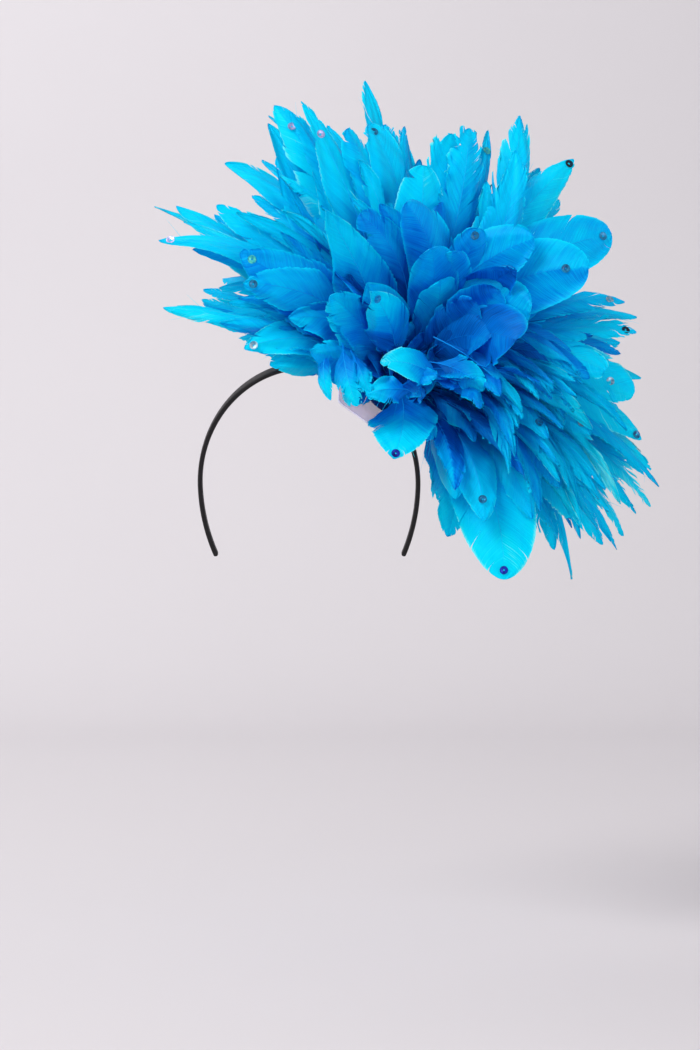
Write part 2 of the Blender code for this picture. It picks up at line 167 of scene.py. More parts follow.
def meshFromArrays(name, parts):  # a part: points, faces, UVs, dye with painted shade and, for a vane, 0 inside to 1 at the rim
    points, faces, spread, dyeAndShade, *rims = zip(*parts)
    starts = np.cumsum([0] + [len(part) for part in points[:-1]])
    faces = np.concatenate([part + start for part, start in zip(faces, starts)])
    mesh = bpy.data.meshes.new(name)
    points = np.concatenate(points)
    mesh.vertices.add(len(points))
    mesh.vertices.foreach_set("co", points.astype(np.float32).ravel())
    mesh.loops.add(faces.size)
    mesh.loops.foreach_set("vertex_index", faces.astype(np.int32).ravel())
    mesh.polygons.add(len(faces))
    mesh.polygons.foreach_set("loop_start", np.arange(0, faces.size, faces.shape[1], dtype=np.int32))
    mesh.update(calc_edges=True)
    layer = mesh.uv_layers.new(name="barbs")
    layer.data.foreach_set("uv", np.concatenate(spread)[faces.ravel()].astype(np.float32).ravel())
    for title, values in zip(("dyeAndShade", "rim"), (dyeAndShade, *rims)):
        shade = mesh.attributes.new(title, "FLOAT", "POINT")
        shade.data.foreach_set("value", np.concatenate(values).astype(np.float32))
    mesh.validate()
    piece = bpy.data.objects.new(name, mesh)
    bpy.context.scene.collection.objects.link(piece)
    return piece


# The head band's arch leans forward at the top; the plate and the plume are set out from it
arch = {
    "halfSpan": 0.0755,
    "rise": 0.0906,
    "legRadius": 0.160,
    "legLength": 0.054,
    "thickness": 0.0034,
    "widths": (0.0095, 0.0056),  # at the top and at a tip
    "crownShare": 0.75,
    "lean": math.radians(28.0),
    "plateAngle": math.radians(33.5),
}
archUp = np.array((0.0, -math.sin(arch["lean"]), math.cos(arch["lean"])))
archBack = np.array((0.0, math.cos(arch["lean"]), math.sin(arch["lean"])))


def crownPoint(angle):  # outer face of the crown in the arch's plane, and its normal there
    across = arch["halfSpan"] * math.sin(angle)
    up = arch["rise"] * (math.cos(angle) - 1.0) + arch["thickness"]
    return across, up, unit((math.sin(angle) / arch["halfSpan"], math.cos(angle) / arch["rise"]))


def legPoint(turn):
    across = arch["halfSpan"] - arch["legRadius"] * (1.0 - math.cos(turn))
    up = arch["thickness"] - arch["rise"] - arch["legRadius"] * math.sin(turn)
    return across, up, np.array((math.cos(turn), -math.sin(turn)))


def archPoint(share):  # share: 0 at the top, 1 at the left tip, -1 at the right tip
    crown = arch["crownShare"]
    if abs(share) <= crown:
        across, up, normal = crownPoint(math.pi / 2 * abs(share) / crown)
    else:
        past = (abs(share) - crown) / (1 - crown)
        across, up, normal = legPoint(arch["legLength"] / arch["legRadius"] * past)
    side = -1.0 if share < 0 else 1.0
    place = np.array((side * across, 0.0, 0.0)) + archUp * up
    return place, np.array((side * normal[0], 0.0, 0.0)) + archUp * normal[1]


plateAcross, plateUp, plateNormal = crownPoint(arch["plateAngle"])
plateFoot = np.array((plateAcross, 0.0, 0.0)) + archUp * plateUp
plumeAxis = np.array((plateNormal[0], 0.0, 0.0)) + archUp * plateNormal[1]
alongBand = np.array((plateNormal[1], 0.0, 0.0)) - archUp * plateNormal[0]
forward = -archBack
viewSide = np.array((0.0, -1.0, 0.0))

dome = {
    "radius": 0.025,
    "felt": 0.985,  # the felt's radius as a share of the dome's
    "height": 0.022,
    "base": 0.0016,
    "alongBand": 0.005,
    "forward": 0.024,
}
domeCentre = plateFoot + alongBand * dome["alongBand"] + forward * dome["forward"]
domeCentre = domeCentre + plumeAxis * (dome["base"] + dome["height"])


def satinMaterial():
    # Polyester satin over a plastic band: near-black, with a soft broad sheen and fine cross threads
    made, tree, shader = newFinish("wrappedBlackSatin")
    uv = addNode(tree, "UVMap", {"uv_map": "weave"})
    # Threads are about 0.2 mm apart; drawn at 0.45 mm so that they show
    threads = addNode(tree, "Mapping", values={"Scale": (1 / 0.00045, 1 / 0.0022, 1.0)}, links={"Vector": uv})
    flat = {"noise_dimensions": "2D"}
    weave = addNode(tree, "TexNoise", flat, {"Scale": 1.0, "Detail": 2.0}, {"Vector": threads})
    broad = addNode(tree, "TexNoise", flat, {"Scale": 90.0, "Detail": 3.0}, {"Vector": uv})
    both = addNode(tree, "Math", {"operation": "MULTIPLY"}, links={0: weave, 1: broad})
    shade = addNode(tree, "ValToRGB", links={"Fac": both}, stops=((0.12, "#060506"), (0.45, "#141115")))
    rough = addNode(tree, "MapRange", values={"To Min": 0.34, "To Max": 0.52}, links={"Value": broad})
    bump = addNode(tree, "Bump", values={"Strength": 0.35, "Distance": 0.0002}, links={"Height": weave})
    setUp(tree, shader, {"Sheen Weight": 0.12, "Sheen Roughness": 0.35, "Sheen Tint": linearColour("#8f8590"),
                         "Specular IOR Level": 0.3},
          {"Base Color": shade, "Roughness": rough, "Normal": bump})
    return made


bandWrap = {
    "stations": 150,
    "around": 28,
    "tipRound": 0.0021,
    "capSteps": 6,
    "boxiness": 3.2,
    "nearShare": 0.985,  # a tip's cap points away from this share of the way to it
    "unrolled": (0.37, 0.024),  # the satin sheet's length and width, for its UVs
    "crease": 50,
}


def makeSatinBand():  # a flat sheet rolled into the wrapped band along the arch
    around, stations, caps = bandWrap["around"], bandWrap["stations"], bandWrap["capSteps"]
    deselectAll()
    bpy.ops.mesh.primitive_grid_add(x_subdivisions=stations + 2 * caps, y_subdivisions=around, size=2)
    piece = bpy.context.object
    flat = readPoints(piece)
    rows = np.unique(np.round(flat[:, 0], 5))
    steps = len(rows) - 1 - 2 * caps
    places = []
    for step in range(-caps, len(rows) - caps):
        turn = math.pi / 2 * max(-step, step - steps, 0) / caps  # only in the rounded caps
        share = 2.0 * min(max(step / steps, 0.0), 1.0) - 1.0
        size = max(math.cos(turn), 1e-5)
        place, out = archPoint(share)
        near, _ = archPoint(share * bandWrap["nearShare"])
        width = between(arch["widths"], abs(share) ** 1.5)
        middle = place - out * arch["thickness"] / 2
        if turn:
            middle = middle + unit(place - near) * math.sin(turn) * bandWrap["tipRound"]
        places.append((middle, out, width * size / 2, arch["thickness"] * size / 2))
    columns = np.searchsorted(rows, np.round(flat[:, 0], 5))
    angles = (flat[:, 1] + 1.0) * math.pi
    points = np.zeros_like(flat)
    power = 2.0 / bandWrap["boxiness"]
    for i, (column, turn) in enumerate(zip(columns, angles)):
        middle, out, halfWide, halfThick = places[column]
        c, s = math.cos(turn), math.sin(turn)
        wide = halfWide * math.copysign(abs(c) ** power, c)
        thick = halfThick * math.copysign(abs(s) ** power, s)
        points[i] = middle + archBack * wide + out * thick
    layer = piece.data.uv_layers.new(name="weave")
    spread = flat[loopVertices(piece), :2] * np.array(bandWrap["unrolled"]) / 2
    layer.data.foreach_set("uv", spread.astype(np.float32).ravel())
    writePoints(piece, points)
    closeSeams(piece)
    faceOutwards()
    finishPiece(piece, "satinBand", [satinMaterial()], ["head_band"], bandWrap["crease"])


def acetateMaterial():
    # Clear cast acetate sheet: faint pink-lilac tint and glossy faces that show what lies behind
    return mottledFinish("clearLilacAcetate", {"Scale": 60.0, "Detail": 3.0},
                         ((0.3, "#f6c8e0"), (0.7, "#e2d8f4")),
                         {"IOR": 1.49, "Alpha": 0.40, "Coat Weight": 0.4, "Coat Roughness": 0.08},
                         gloss={"To Min": 0.08, "To Max": 0.2})


def cutEdgeMaterial():
    # Sheared acetate: the cut face scatters light, so the edge reads as a fine milky line.
    # Shear marks about 0.5 mm apart
    return mottledFinish("shearedAcetateEdge", {"Scale": 1 / 0.001, "Detail": 3.0},
                         ((0.3, "#e9dcee"), (0.7, "#fbf6fc")), {"Roughness": 0.55},
                         relief={"Strength": 0.3, "Distance": 0.0002})


plate = {
    "thickness": 0.0010,
    "glue": 0.0003,
    "along": (-0.028, 0.024),
    "forward": (-0.022, 0.068),
    "corner": 0.003,
    "easedEdge": 0.0002,
    "crease": 30,
}


def makeAcetatePlate():  # a cut rectangle with rounded corners, given its thickness and an eased edge
    deselectAll()
    bpy.ops.mesh.primitive_plane_add(size=2)
    piece = bpy.context.object
    editMesh()
    (fromAlong, toAlong), (fromForward, toForward) = plate["along"], plate["forward"]
    bpy.ops.transform.resize(value=((toAlong - fromAlong) / 2, (toForward - fromForward) / 2, 1.0))
    bpy.ops.mesh.bevel(offset=plate["corner"], segments=6, affect="VERTICES")
    bpy.ops.mesh.extrude_region_move(TRANSFORM_OT_translate={"value": (0.0, 0.0, plate["thickness"])})
    bpy.ops.mesh.select_all(action="SELECT")
    bpy.ops.mesh.normals_make_consistent(inside=False)
    endEdit()
    ease = piece.modifiers.new("easedEdge", "BEVEL")
    ease.width = plate["easedEdge"]
    ease.segments = 2
    ease.limit_method = "ANGLE"
    bpy.ops.object.modifier_apply(modifier=ease.name)
    flat = readPoints(piece)
    points = plateFoot + np.outer((fromAlong + toAlong) / 2 + flat[:, 0], alongBand)
    points = points + np.outer((fromForward + toForward) / 2 + flat[:, 1], forward)
    points = points + np.outer(plate["glue"] + flat[:, 2], plumeAxis)
    writePoints(piece, points)
    faceOutwards()
    finishPiece(piece, "acetatePlate", [acetateMaterial(), cutEdgeMaterial()], ["base_plate"],
                plate["crease"])
    for polygon in piece.data.polygons:  # the cut edge has a finish of its own
        polygon.material_index = int(abs(Vector(plumeAxis).dot(polygon.normal)) < 0.5)


def feltMaterial():
    # Stiffened wool felt: matt deep blue with matted fibres, seen only between the quills.
    # Fibre tufts about 0.8 mm across
    return mottledFinish("dyedWoolFelt", {"Scale": 1 / 0.0016, "Detail": 6.0, "Distortion": 1.2},
                         ((0.3, "#00123e"), (0.7, "#003c8c")),
                         {"Roughness": 0.95, "Sheen Weight": 0.3, "Sheen Tint": linearColour("#0a5cc0"),
                          "Specular Tint": linearColour("#1070d0")},
                         relief={"Strength": 0.7, "Distance": 0.0006})


def makeQuillBase():  # the felt dome that the quills are set in, cut flat where it is glued to the plate
    deselectAll()
    bpy.ops.mesh.primitive_uv_sphere_add(segments=64, ring_count=32, radius=dome["radius"] * dome["felt"])
    piece = bpy.context.object
    turn = Vector((0.0, 0.0, 1.0)).rotation_difference(Vector(plumeAxis)).to_matrix()
    writePoints(piece, readPoints(piece) @ np.array(turn).T + domeCentre)
    editMesh()
    cut = domeCentre - plumeAxis * dome["height"]
    bpy.ops.mesh.bisect(plane_co=cut, plane_no=plumeAxis, clear_inner=True, use_fill=True)
    endEdit()
    faceOutwards()
    finishPiece(piece, "feltQuillBase", [feltMaterial()], crease=60)


# Feathers. bearing: degrees in the front view from +X towards +Z. reach: dome centre to tip in that view.
# depth: how far the tip lies behind (+) or before (-) the dome centre. bow: sideways bend of the quill.
# face: 0 looks along the plume's axis, 1 at the viewer. tone: 0 deep to 1 bright dye. fold: 0 flat to 1
# folded round the quill. rag: 0 whole to 1 frayed. sequin: its place along the quill, or 0.
shownFeather = namedtuple(
    "shownFeather", "bearing reach depth width bow face tone fold rag shape sequin", defaults=("leaf", 0)
)


def fromMillimetres(rows):  # the tables give reach, depth, width and bow in mm
    return [shownFeather(row[0], *(part / 1000 for part in row[1:5]), *row[5:]) for row in rows]


outerFeathers = fromMillimetres((
    (170.5, 93, -15, 28, -6, 0.6, 0.8, 0.4, 0.3),
    (171, 101, -35, 28, -6, 0.7, 0.95, 0.3, 0.2, "leaf", 0.94),
    (161.5, 130, 0, 21, -8, 0.4, 0.9, 0.6, 0.5),
    (164, 159, -15, 20, 6, 0.5, 1, 0.5, 0.4),
    (155.5, 142, 20, 19, 4, 0.3, 0.7, 0.5, 0.3),
    (151, 177, -25, 23, -10, 0.5, 0.95, 0.3, 0.15, "leaf", 0.96),
    (144.5, 172, -10, 19, 4, 0.4, 0.95, 0.5, 0.4, "point"),
    (142.5, 184, 5, 24, 10, 0.5, 0.9, 0.4, 0.2),
    (146, 158, 10, 24, 4, 0.4, 0.95, 0.3, 0.2, "leaf", 0.9),
    (137, 163, -5, 28, 6, 0.5, 1, 0.3, 0.3),
    (129, 183, 20, 28, -8, 0.5, 0.9, 0.5, 0.1),
    (122, 172, 30, 21, -4, 0.4, 0.8, 0.4, 0.3),
    (129, 154, 12, 27, -4, 0.5, 0.85, 0.3, 0.4),
    (116.5, 193, 15, 16, -6, 0.4, 0.85, 0.6, 0.3, "point"),
    (115, 193, -10, 36, 6, 0.7, 0.9, 0.25, 0.35, "leaf", 0.9),
    (110, 187, -20, 38, 8, 0.6, 0.92, 0.25, 0.35, "point", 0.86),
    (106, 173, 15, 21, 4, 0.5, 0.8, 0.4, 0.5, "leaf", 0.8),
    (96.5, 201, 35, 24, 10, 0.4, 0.9, 0.35, 0.35),
    (102, 163, -15, 27, 4, 0.6, 0.7, 0.3, 0.5, "round"),
    (97, 166, 0, 28, -2, 0.6, 0.75, 0.3, 0.2, "round", 0.96),
    (93.5, 168, 20, 22, 0, 0.5, 0.75, 0.4, 0.5, "round"),
    (90, 166, 30, 18, 0, 0.4, 0.8, 0.6, 0.6, "point"),
    (89, 165, 10, 24, 10, 0.5, 0.8, 0.4, 0.5),
    (81, 159, 30, 18, 0, 0.4, 0.75, 0.7, 0.6, "point"),
    (84, 134, -30, 34, 8, 0.8, 1.05, 0.2, 0.1, "round"),
    (78, 162, 0, 34, 8, 0.6, 0.88, 0.25, 0.7, "round"),
    (74.5, 166, -12, 32, 4, 0.6, 0.8, 0.3, 0.7, "round"),
    (70.5, 175, 25, 19, 0, 0.4, 0.75, 0.5, 0.5, "leaf", 0.9),
    (65.5, 187, 0, 34, -8, 0.5, 0.85, 0.45, 0.75),
    (63.5, 188, 20, 30, -10, 0.5, 0.9, 0.4, 0.6, "point"),
    (63, 163, -15, 30, -8, 0.6, 0.85, 0.4, 0.6),
    (51.5, 183, 10, 34, 8, 0.7, 0.95, 0.3, 0.3, "leaf", 0.97),
    (48.5, 160, 30, 29, 0, 0.5, 0.9, 0.3, 0.3),
    (56.5, 167, 20, 27, 0, 0.6, 0.85, 0.4, 0.6),
    (34, 166, 0, 42, 8, 0.9, 0.64, 0.3, 0.03, "round", 0.96),
    (29.5, 136, -40, 44, 6, 1, 0.62, 0.15, 0.03, "round", 0.9),
    (18.5, 154, 0, 24, 4, 0.4, 0.72, 0.35, 0.6, "leaf", 0.93),
    (14.5, 161, 15, 26, 4, 0.4, 0.72, 0.35, 0.6),
    (10.5, 155, -10, 27, 0, 0.4, 0.72, 0.35, 0.7, "leaf", 0.95),
    (9.5, 148, 25, 30, 0, 0.5, 0.85, 0.35, 0.5),
    (1, 130, -30, 30, 6, 0.8, 0.8, 0.4, 0.3, "round"),
    (-4.5, 152, 0, 34, 6, 0.7, 1, 0.3, 0.15, "round", 0.88),
    (-8.5, 145, 15, 30, 6, 0.6, 0.85, 0.4, 0.3, "leaf", 0.9),
    (-14.5, 162, 0, 32, 6, 0.6, 1, 0.4, 0.3, "leaf", 0.97),
    (-20, 175, 10, 26, 6, 0.5, 1, 0.45, 0.7),
    (-23, 182, -5, 26, 8, 0.5, 0.82, 0.5, 0.8, "point"),
    (-27, 185, 15, 25, 6, 0.4, 1, 0.5, 0.65),
    (-30, 177, 0, 26, 6, 0.4, 0.74, 0.5, 0.8, "point"),
    (-35, 180, 20, 23, 6, 0.4, 0.95, 0.5, 0.7),
    (-38.5, 180, 0, 26, 4, 0.5, 0.7, 0.5, 0.8, "point"),
    (-40, 169, -20, 26, 0, 0.5, 0.9, 0.5, 0.7),
    (-49.5, 173, 10, 16, 12, 0.4, 0.9, 0.8, 0.4, "point"),
    (-48, 151, 10, 32, 8, 0.6, 1, 0.4, 0.5, "leaf", 0.88),
    (-63.5, 146, -35, 48, 6, 1, 1, 0.2, 0.02, "paddle", 0.96),
    (-73.5, 108, 0, 34, 8, 0.8, 0.9, 0.4, 0.3),
))
frontFeathers = fromMillimetres((
    (143.5, 127, -45, 44, 6, 1, 0.4, 0.2, 0.3, "leaf", 0.93),
    (151, 114, -52, 36, -6, 0.9, 0.56, 0.3, 0.35, "leaf", 0.95),
    (154.5, 79, -50, 30, -6, 0.8, 0.6, 0.4, 0.2),
    (167.5, 59, -55, 30, 6, 0.8, 0.6, 0.3, 0.3),
    (115.5, 110, -70, 38, 8, 0.9, 0.85, 0.25, 0.2, "point"),
    (113.5, 51, -88, 32, 4, 0.9, 0.85, 0.3, 0.08, "point", 0.9),
    (134.5, 64, -72, 30, 4, 0.8, 0.58, 0.4, 0.3),
    (104.5, 104, -45, 26, -8, 0.8, 0.5, 0.4, 0.3, "round"),
    (97.5, 108, -40, 28, -8, 0.9, 0.4, 0.4, 0.2),
    (88.5, 107, -50, 32, -10, 0.9, 0.46, 0.3, 0.1, "round"),
    (76.5, 78, -68, 30, 0, 0.8, 0.5, 0.3, 0.05, "round"),
    (67.5, 81, -60, 28, 0, 0.8, 0.5, 0.3, 0.05, "round"),
    (62.5, 103, -45, 28, 6, 0.7, 0.4, 0.35, 0.2, "round", 0.95),
    (45.5, 119, -45, 37, 4, 0.8, 0.5, 0.3, 0.15, "round"),
    (24.5, 87, -70, 39, 8, 1, 0.48, 0.25, 0.05, "round"),
    (14, 71, -90, 42, 4, 1, 0.2, 0.3, 0.05, "round"),
    (-1.5, 119, -40, 27, 8, 0.7, 0.45, 0.45, 0.3),
    (-9.5, 100, -55, 24, 8, 0.6, 0.45, 0.65, 0.4),
    (-15.5, 62, -80, 23, 8, 0.7, 0.3, 0.65, 0.4),
    (-27.5, 53, -88, 20, 4, 0.8, 0.3, 0.65, 0.4),
    (-18.5, 125, -48, 26, 8, 0.5, 0.65, 0.45, 0.4, "leaf", 0.93),
    (-25, 100, -62, 23, 6, 0.5, 0.55, 0.65, 0.4, "leaf", 0.9),
    (-36, 123, -45, 25, 6, 0.6, 0.6, 0.65, 0.5),
    (-37.5, 89, -60, 23, 4, 0.6, 0.35, 0.65, 0.4),
    (-48, 124, -35, 26, 4, 0.7, 0.7, 0.45, 0.4),
    (-61, 107, -50, 30, 4, 0.9, 0.75, 0.3, 0.2, "leaf", 0.88),
    (-66, 81, -55, 23, 2, 0.8, 0.5, 0.4, 0.3),
    (-95.5, 55, -62, 42, 0, 1, 0.95, 0.25, 0.25, "kite", 0.95),
    (-68.5, 46, -50, 24, -4, 0.9, 0.5, 0.5, 0.3),
    (-20, 34, -72, 20, 4, 0.8, 0.2, 0.4, 0.2, "round"),
))

# Small feathers and whips over the band and at the rim
smallFeathers = fromMillimetres((
    (179, 65, -20, 23, -6, 0.7, 0.55, 0.4, 0.3),
    (-40, 52, -30, 34, 0, 0.9, 0.35, 0.3, 0.1, "round"),
    (176, 84, -28, 26, -2, 0.8, 0.85, 0.35, 0.3),
    (175, 81, -10, 22, -6, 0.7, 0.65, 0.4, 0.3),
    (112, 59, -62, 36, 4, 0.9, 0.62, 0.3, 0.05, "point"),
    (145, 196, 10, 14, 6, 0.4, 1, 0.4, 0.5, "point"),
    (117.5, 186, 0, 26, 16, 0.6, 0.9, 0.3, 0.3),
    (119, 165, 4, 30, 14, 0.6, 0.85, 0.3, 0.3),
    (112.5, 184, -13, 30, 6, 0.7, 0.85, 0.25, 0.7),
))

# Short feathers that turn over in front of the heart or droop over the band, in mm. root and tip are offsets
# from the dome's centre, bend is how far the quill's middle is pushed, and look is the way its face points.
drapedFeather = namedtuple("drapedFeather", "root tip bend look width shape tone fold rag")
drapedFeathers = [drapedFeather(*row) for row in (
    ((26, -56, -8), (-14, -80, 4), (2, -3, 5), (0.1, -1, 0.4), 24, "kite", 1.05, 0.2, 0.15),
    ((16, -58, 6), (50, -70, -13), (3, -4, 3), (-0.2, -1, 0.3), 18, "leaf", 0.72, 0.2, 0.15),
    ((20, -52, 22), (74, -68, -26), (4, -6, 3), (-0.5, -1, -0.3), 12, "leaf", 0.9, 0.6, 0.3),
    ((46, -66, 4), (120, -48, -36), (3, -6, 4), (-0.5, -1, -0.3), 15, "leaf", 1.05, 0.6, 0.5),
    ((-4, -52, -12), (21, -78, -4), (0, -3, 3), (0, -1, 0.5), 16, "leaf", 0.42, 0.3, 0.2),
    ((10, -55, -13), (-23, -64, -15), (0, -3, 3), (0, -1, 0.3), 18, "leaf", 0.8, 0.2, 0.4),
    ((-46, -40, 17), (-44.5, -58, -18), (-4, -6, 0), (-0.3, -1, 0.1), 11, "leaf", 1.05, 0.3, 0.15),
    ((-37, -44, 18), (-28, -62, -22), (-2, -8, 0), (0, -1, 0.1), 17, "strip", 1, 0.25, 0.95),
    ((-32, -44, 14), (-20, -63, -14), (0, -8, 0), (0.1, -1, 0.2), 14, "leaf", 0.85, 0.3, 0.7),
)]

# Rings of plainer feathers about the plume's axis, which fill its back and its heart
plainRing = namedtuple("plainRing", "polar count start length width shape backs")
plainRings = (
    plainRing(24, 3, 30, 0.112, 0.034, "round", False),
    plainRing(62, 4, 100, 0.086, 0.030, "round", False),
    plainRing(38, 7, 0, 0.138, 0.032, "leaf", True),
    plainRing(58, 11, 14, 0.155, 0.032, "leaf", True),
    plainRing(78, 15, 0, 0.160, 0.031, "leaf", True),
    plainRing(97, 16, 11, 0.156, 0.030, "leaf", True),
)
backLeast = 0.16

feather = {
    "quillStart": 0.014,
    "lift": 0.10,  # how far a quill bends out along the plume's axis, as a share of its length
    "sheetLift": 0.0018,
    "bareRoot": 0.10,
    "pleat": 0.0009,
    "sweep": (0.34, 0.80),  # barbs point towards the tip, more and more so along the quill
    "barbCurve": 0.92,
    # How a vane parts and waves. Of splits, fray and ripple the second is added as rag or fold comes to 1; of
    # valley and flap it is the spread about the first
    "splits": (0.034, 0.20),
    "splitFrom": (0.25, 0.85),
    "taper": (0.05, 0.80),
    "swing": 0.34,
    "lifting": 0.22,
    "shorter": 0.22,
    "fray": (0.015, 0.15),
    "ripple": (0.08, 0.36),
    "valley": (-0.16, 0.32),
    "flap": (-0.2, 0.6),
    "twist": 0.16,
    "outlines": {"round": (0.80, 0.42), "leaf": (0.66, 0.64), "point": (0.58, 0.92), "strip": (0.45, 0.45),
                 "kite": (0.60, 0.74), "paddle": (0.90, 0.55)},
    "petals": ("round", "kite", "paddle"),
    "fuller": 1.10,  # vanes spread a little wider than the solids' blades
}
featherPlan = namedtuple("featherPlan", "start control tip look outline width tone fold rag lifted")


def planQuill(tip, sideBend, look, outline, width, tone, fold, rag, lifted=False):
    heading = unit(tip - domeCentre)
    start = domeCentre + heading * feather["quillStart"]
    upward = unit(plumeAxis - heading * plumeAxis.dot(heading))
    reach = np.linalg.norm(tip - start)
    middle = (start + tip) / 2 + upward * reach * feather["lift"] + sideBend
    control = middle * 2 - (start + tip) / 2
    return featherPlan(start, control, tip, look, outline, width, tone, fold, rag, lifted)


def planShown(row, bearing=0.0, reach=1.0, depth=0.0, width=1.0, tone=0.0, fold=0.0):
    turn = math.radians(row.bearing + bearing)
    out = np.array((math.cos(turn), 0.0, math.sin(turn)))
    tip = domeCentre + out * row.reach * reach + np.array((0.0, row.depth + depth, 0.0))
    sideBend = np.array((-math.sin(turn), 0.0, math.cos(turn))) * row.bow
    look = plumeAxis * (1 - row.face) + viewSide * row.face
    same = reach == 1.0
    return planQuill(tip, sideBend, look, row.shape, row.width * width, row.tone + tone, row.fold + fold,
                     row.rag, same and row.sequin > 0)


def planDraped(row):
    root, tip, bend = (np.array(part) / 1000 for part in (row.root, row.tip, row.bend))
    root, tip = domeCentre + root, domeCentre + tip
    control = (root + tip) / 2 + bend * 2
    return featherPlan(root, control, tip, np.array(row.look), row.shape, row.width / 1000,
                       row.tone, row.fold, row.rag, False)


def planRings(chance, copies):
    plans = []
    for ring in plainRings:
        for i in range(ring.count):
            turn = math.radians(ring.start + 360.0 * i / ring.count)
            polar = math.radians(ring.polar + 7.0 * math.sin(2.4 * i))
            length = ring.length * (1.0 + 0.07 * math.sin(1.7 * i + ring.polar))
            for copy in range(copies):
                swing = turn + (0.0 if copy == 0 else chance.normal(0.0, 0.11))
                lean = polar + (0.0 if copy == 0 else chance.normal(0.0, 0.05))
                flat = alongBand * math.cos(swing) - forward * math.sin(swing)
                heading = plumeAxis * math.cos(lean) + flat * math.sin(lean)
                if ring.backs and heading[1] < backLeast:
                    continue
                reach = length * (1.0 if copy == 0 else chance.uniform(0.72, 0.98))
                look = plumeAxis + chance.normal(0.0, 0.22, 3)
                # The rings that fill the heart get a low tone, painted shade; those at the back stay bright
                tone = (0.85 if ring.backs else 0.3) + chance.uniform(-0.25, 0.2)
                plans.append(planQuill(domeCentre + heading * reach, chance.normal(0.0, 0.004, 3), look,
                                       ring.shape, ring.width * chance.uniform(0.75, 1.1), tone,
                                       chance.uniform(0.25, 0.75), chance.uniform(0.1, 0.6)))
    return plans


def alongQuill(plan, u):  # place, heading, sideways and outward at each u from root to tip
    u = u[..., None]
    place = plan.start * (1 - u) ** 2 + plan.control * 2 * u * (1 - u) + plan.tip * u * u
    heading = unit((plan.control - plan.start) * (1 - u) + (plan.tip - plan.control) * u)
    outward = unit(plan.look - heading * (heading @ plan.look)[..., None])
    return place, heading, np.cross(heading, outward), outward


def glueLift(plan, u):  # a vane with a sequin lies out from its quill's line, back to nothing at the tip
    return feather["sheetLift"] * np.clip((1 - u) / 0.1, 0.0, 1.0) if plan.lifted else 0.0


def halfWidth(plan, u):
    rise, fall = feather["outlines"][plan.outline]
    widest = rise / (rise + fall)
    u = np.clip(u, 1e-4, 1.0)
    most = widest**rise * (1 - widest) ** fall
    return plan.width / 2 * feather["fuller"] * u**rise * (1 - u) ** fall / most


def cutVanePattern(strips, steps):  # one vane's sheet, cut into barb strips; every vane is shaped from it
    deselectAll()
    bpy.ops.mesh.primitive_grid_add(x_subdivisions=strips, y_subdivisions=steps, size=2)
    sheet = bpy.context.object
    points = readPoints(sheet)
    bpy.ops.object.mode_set(mode="EDIT")
    bpy.ops.mesh.select_mode(type="EDGE")
    bpy.ops.mesh.select_all(action="DESELECT")
    endEdit()
    for edge in sheet.data.edges:
        a, b = edge.vertices
        edge.select = bool(abs(points[a, 0] - points[b, 0]) < 1e-6 and abs(points[a, 0]) < 0.9999)
    bpy.ops.object.mode_set(mode="EDIT")
    bpy.ops.mesh.edge_split(type="EDGE")
    endEdit()
    points = readPoints(sheet)
    faces = loopVertices(sheet).reshape(-1, 4)
    rows = np.unique(np.round(points[:, 0], 5))
    border = np.searchsorted(rows, np.round(points[:, 0], 5) - 1e-6)
    strip = np.zeros(len(points), int)
    for face in faces:
        strip[face] = border[face].min()
    out = (points[:, 1] + 1.0) / 2.0
    bpy.data.objects.remove(sheet)
    return {"count": len(rows) - 1, "border": border, "strip": strip, "out": out, "faces": faces}


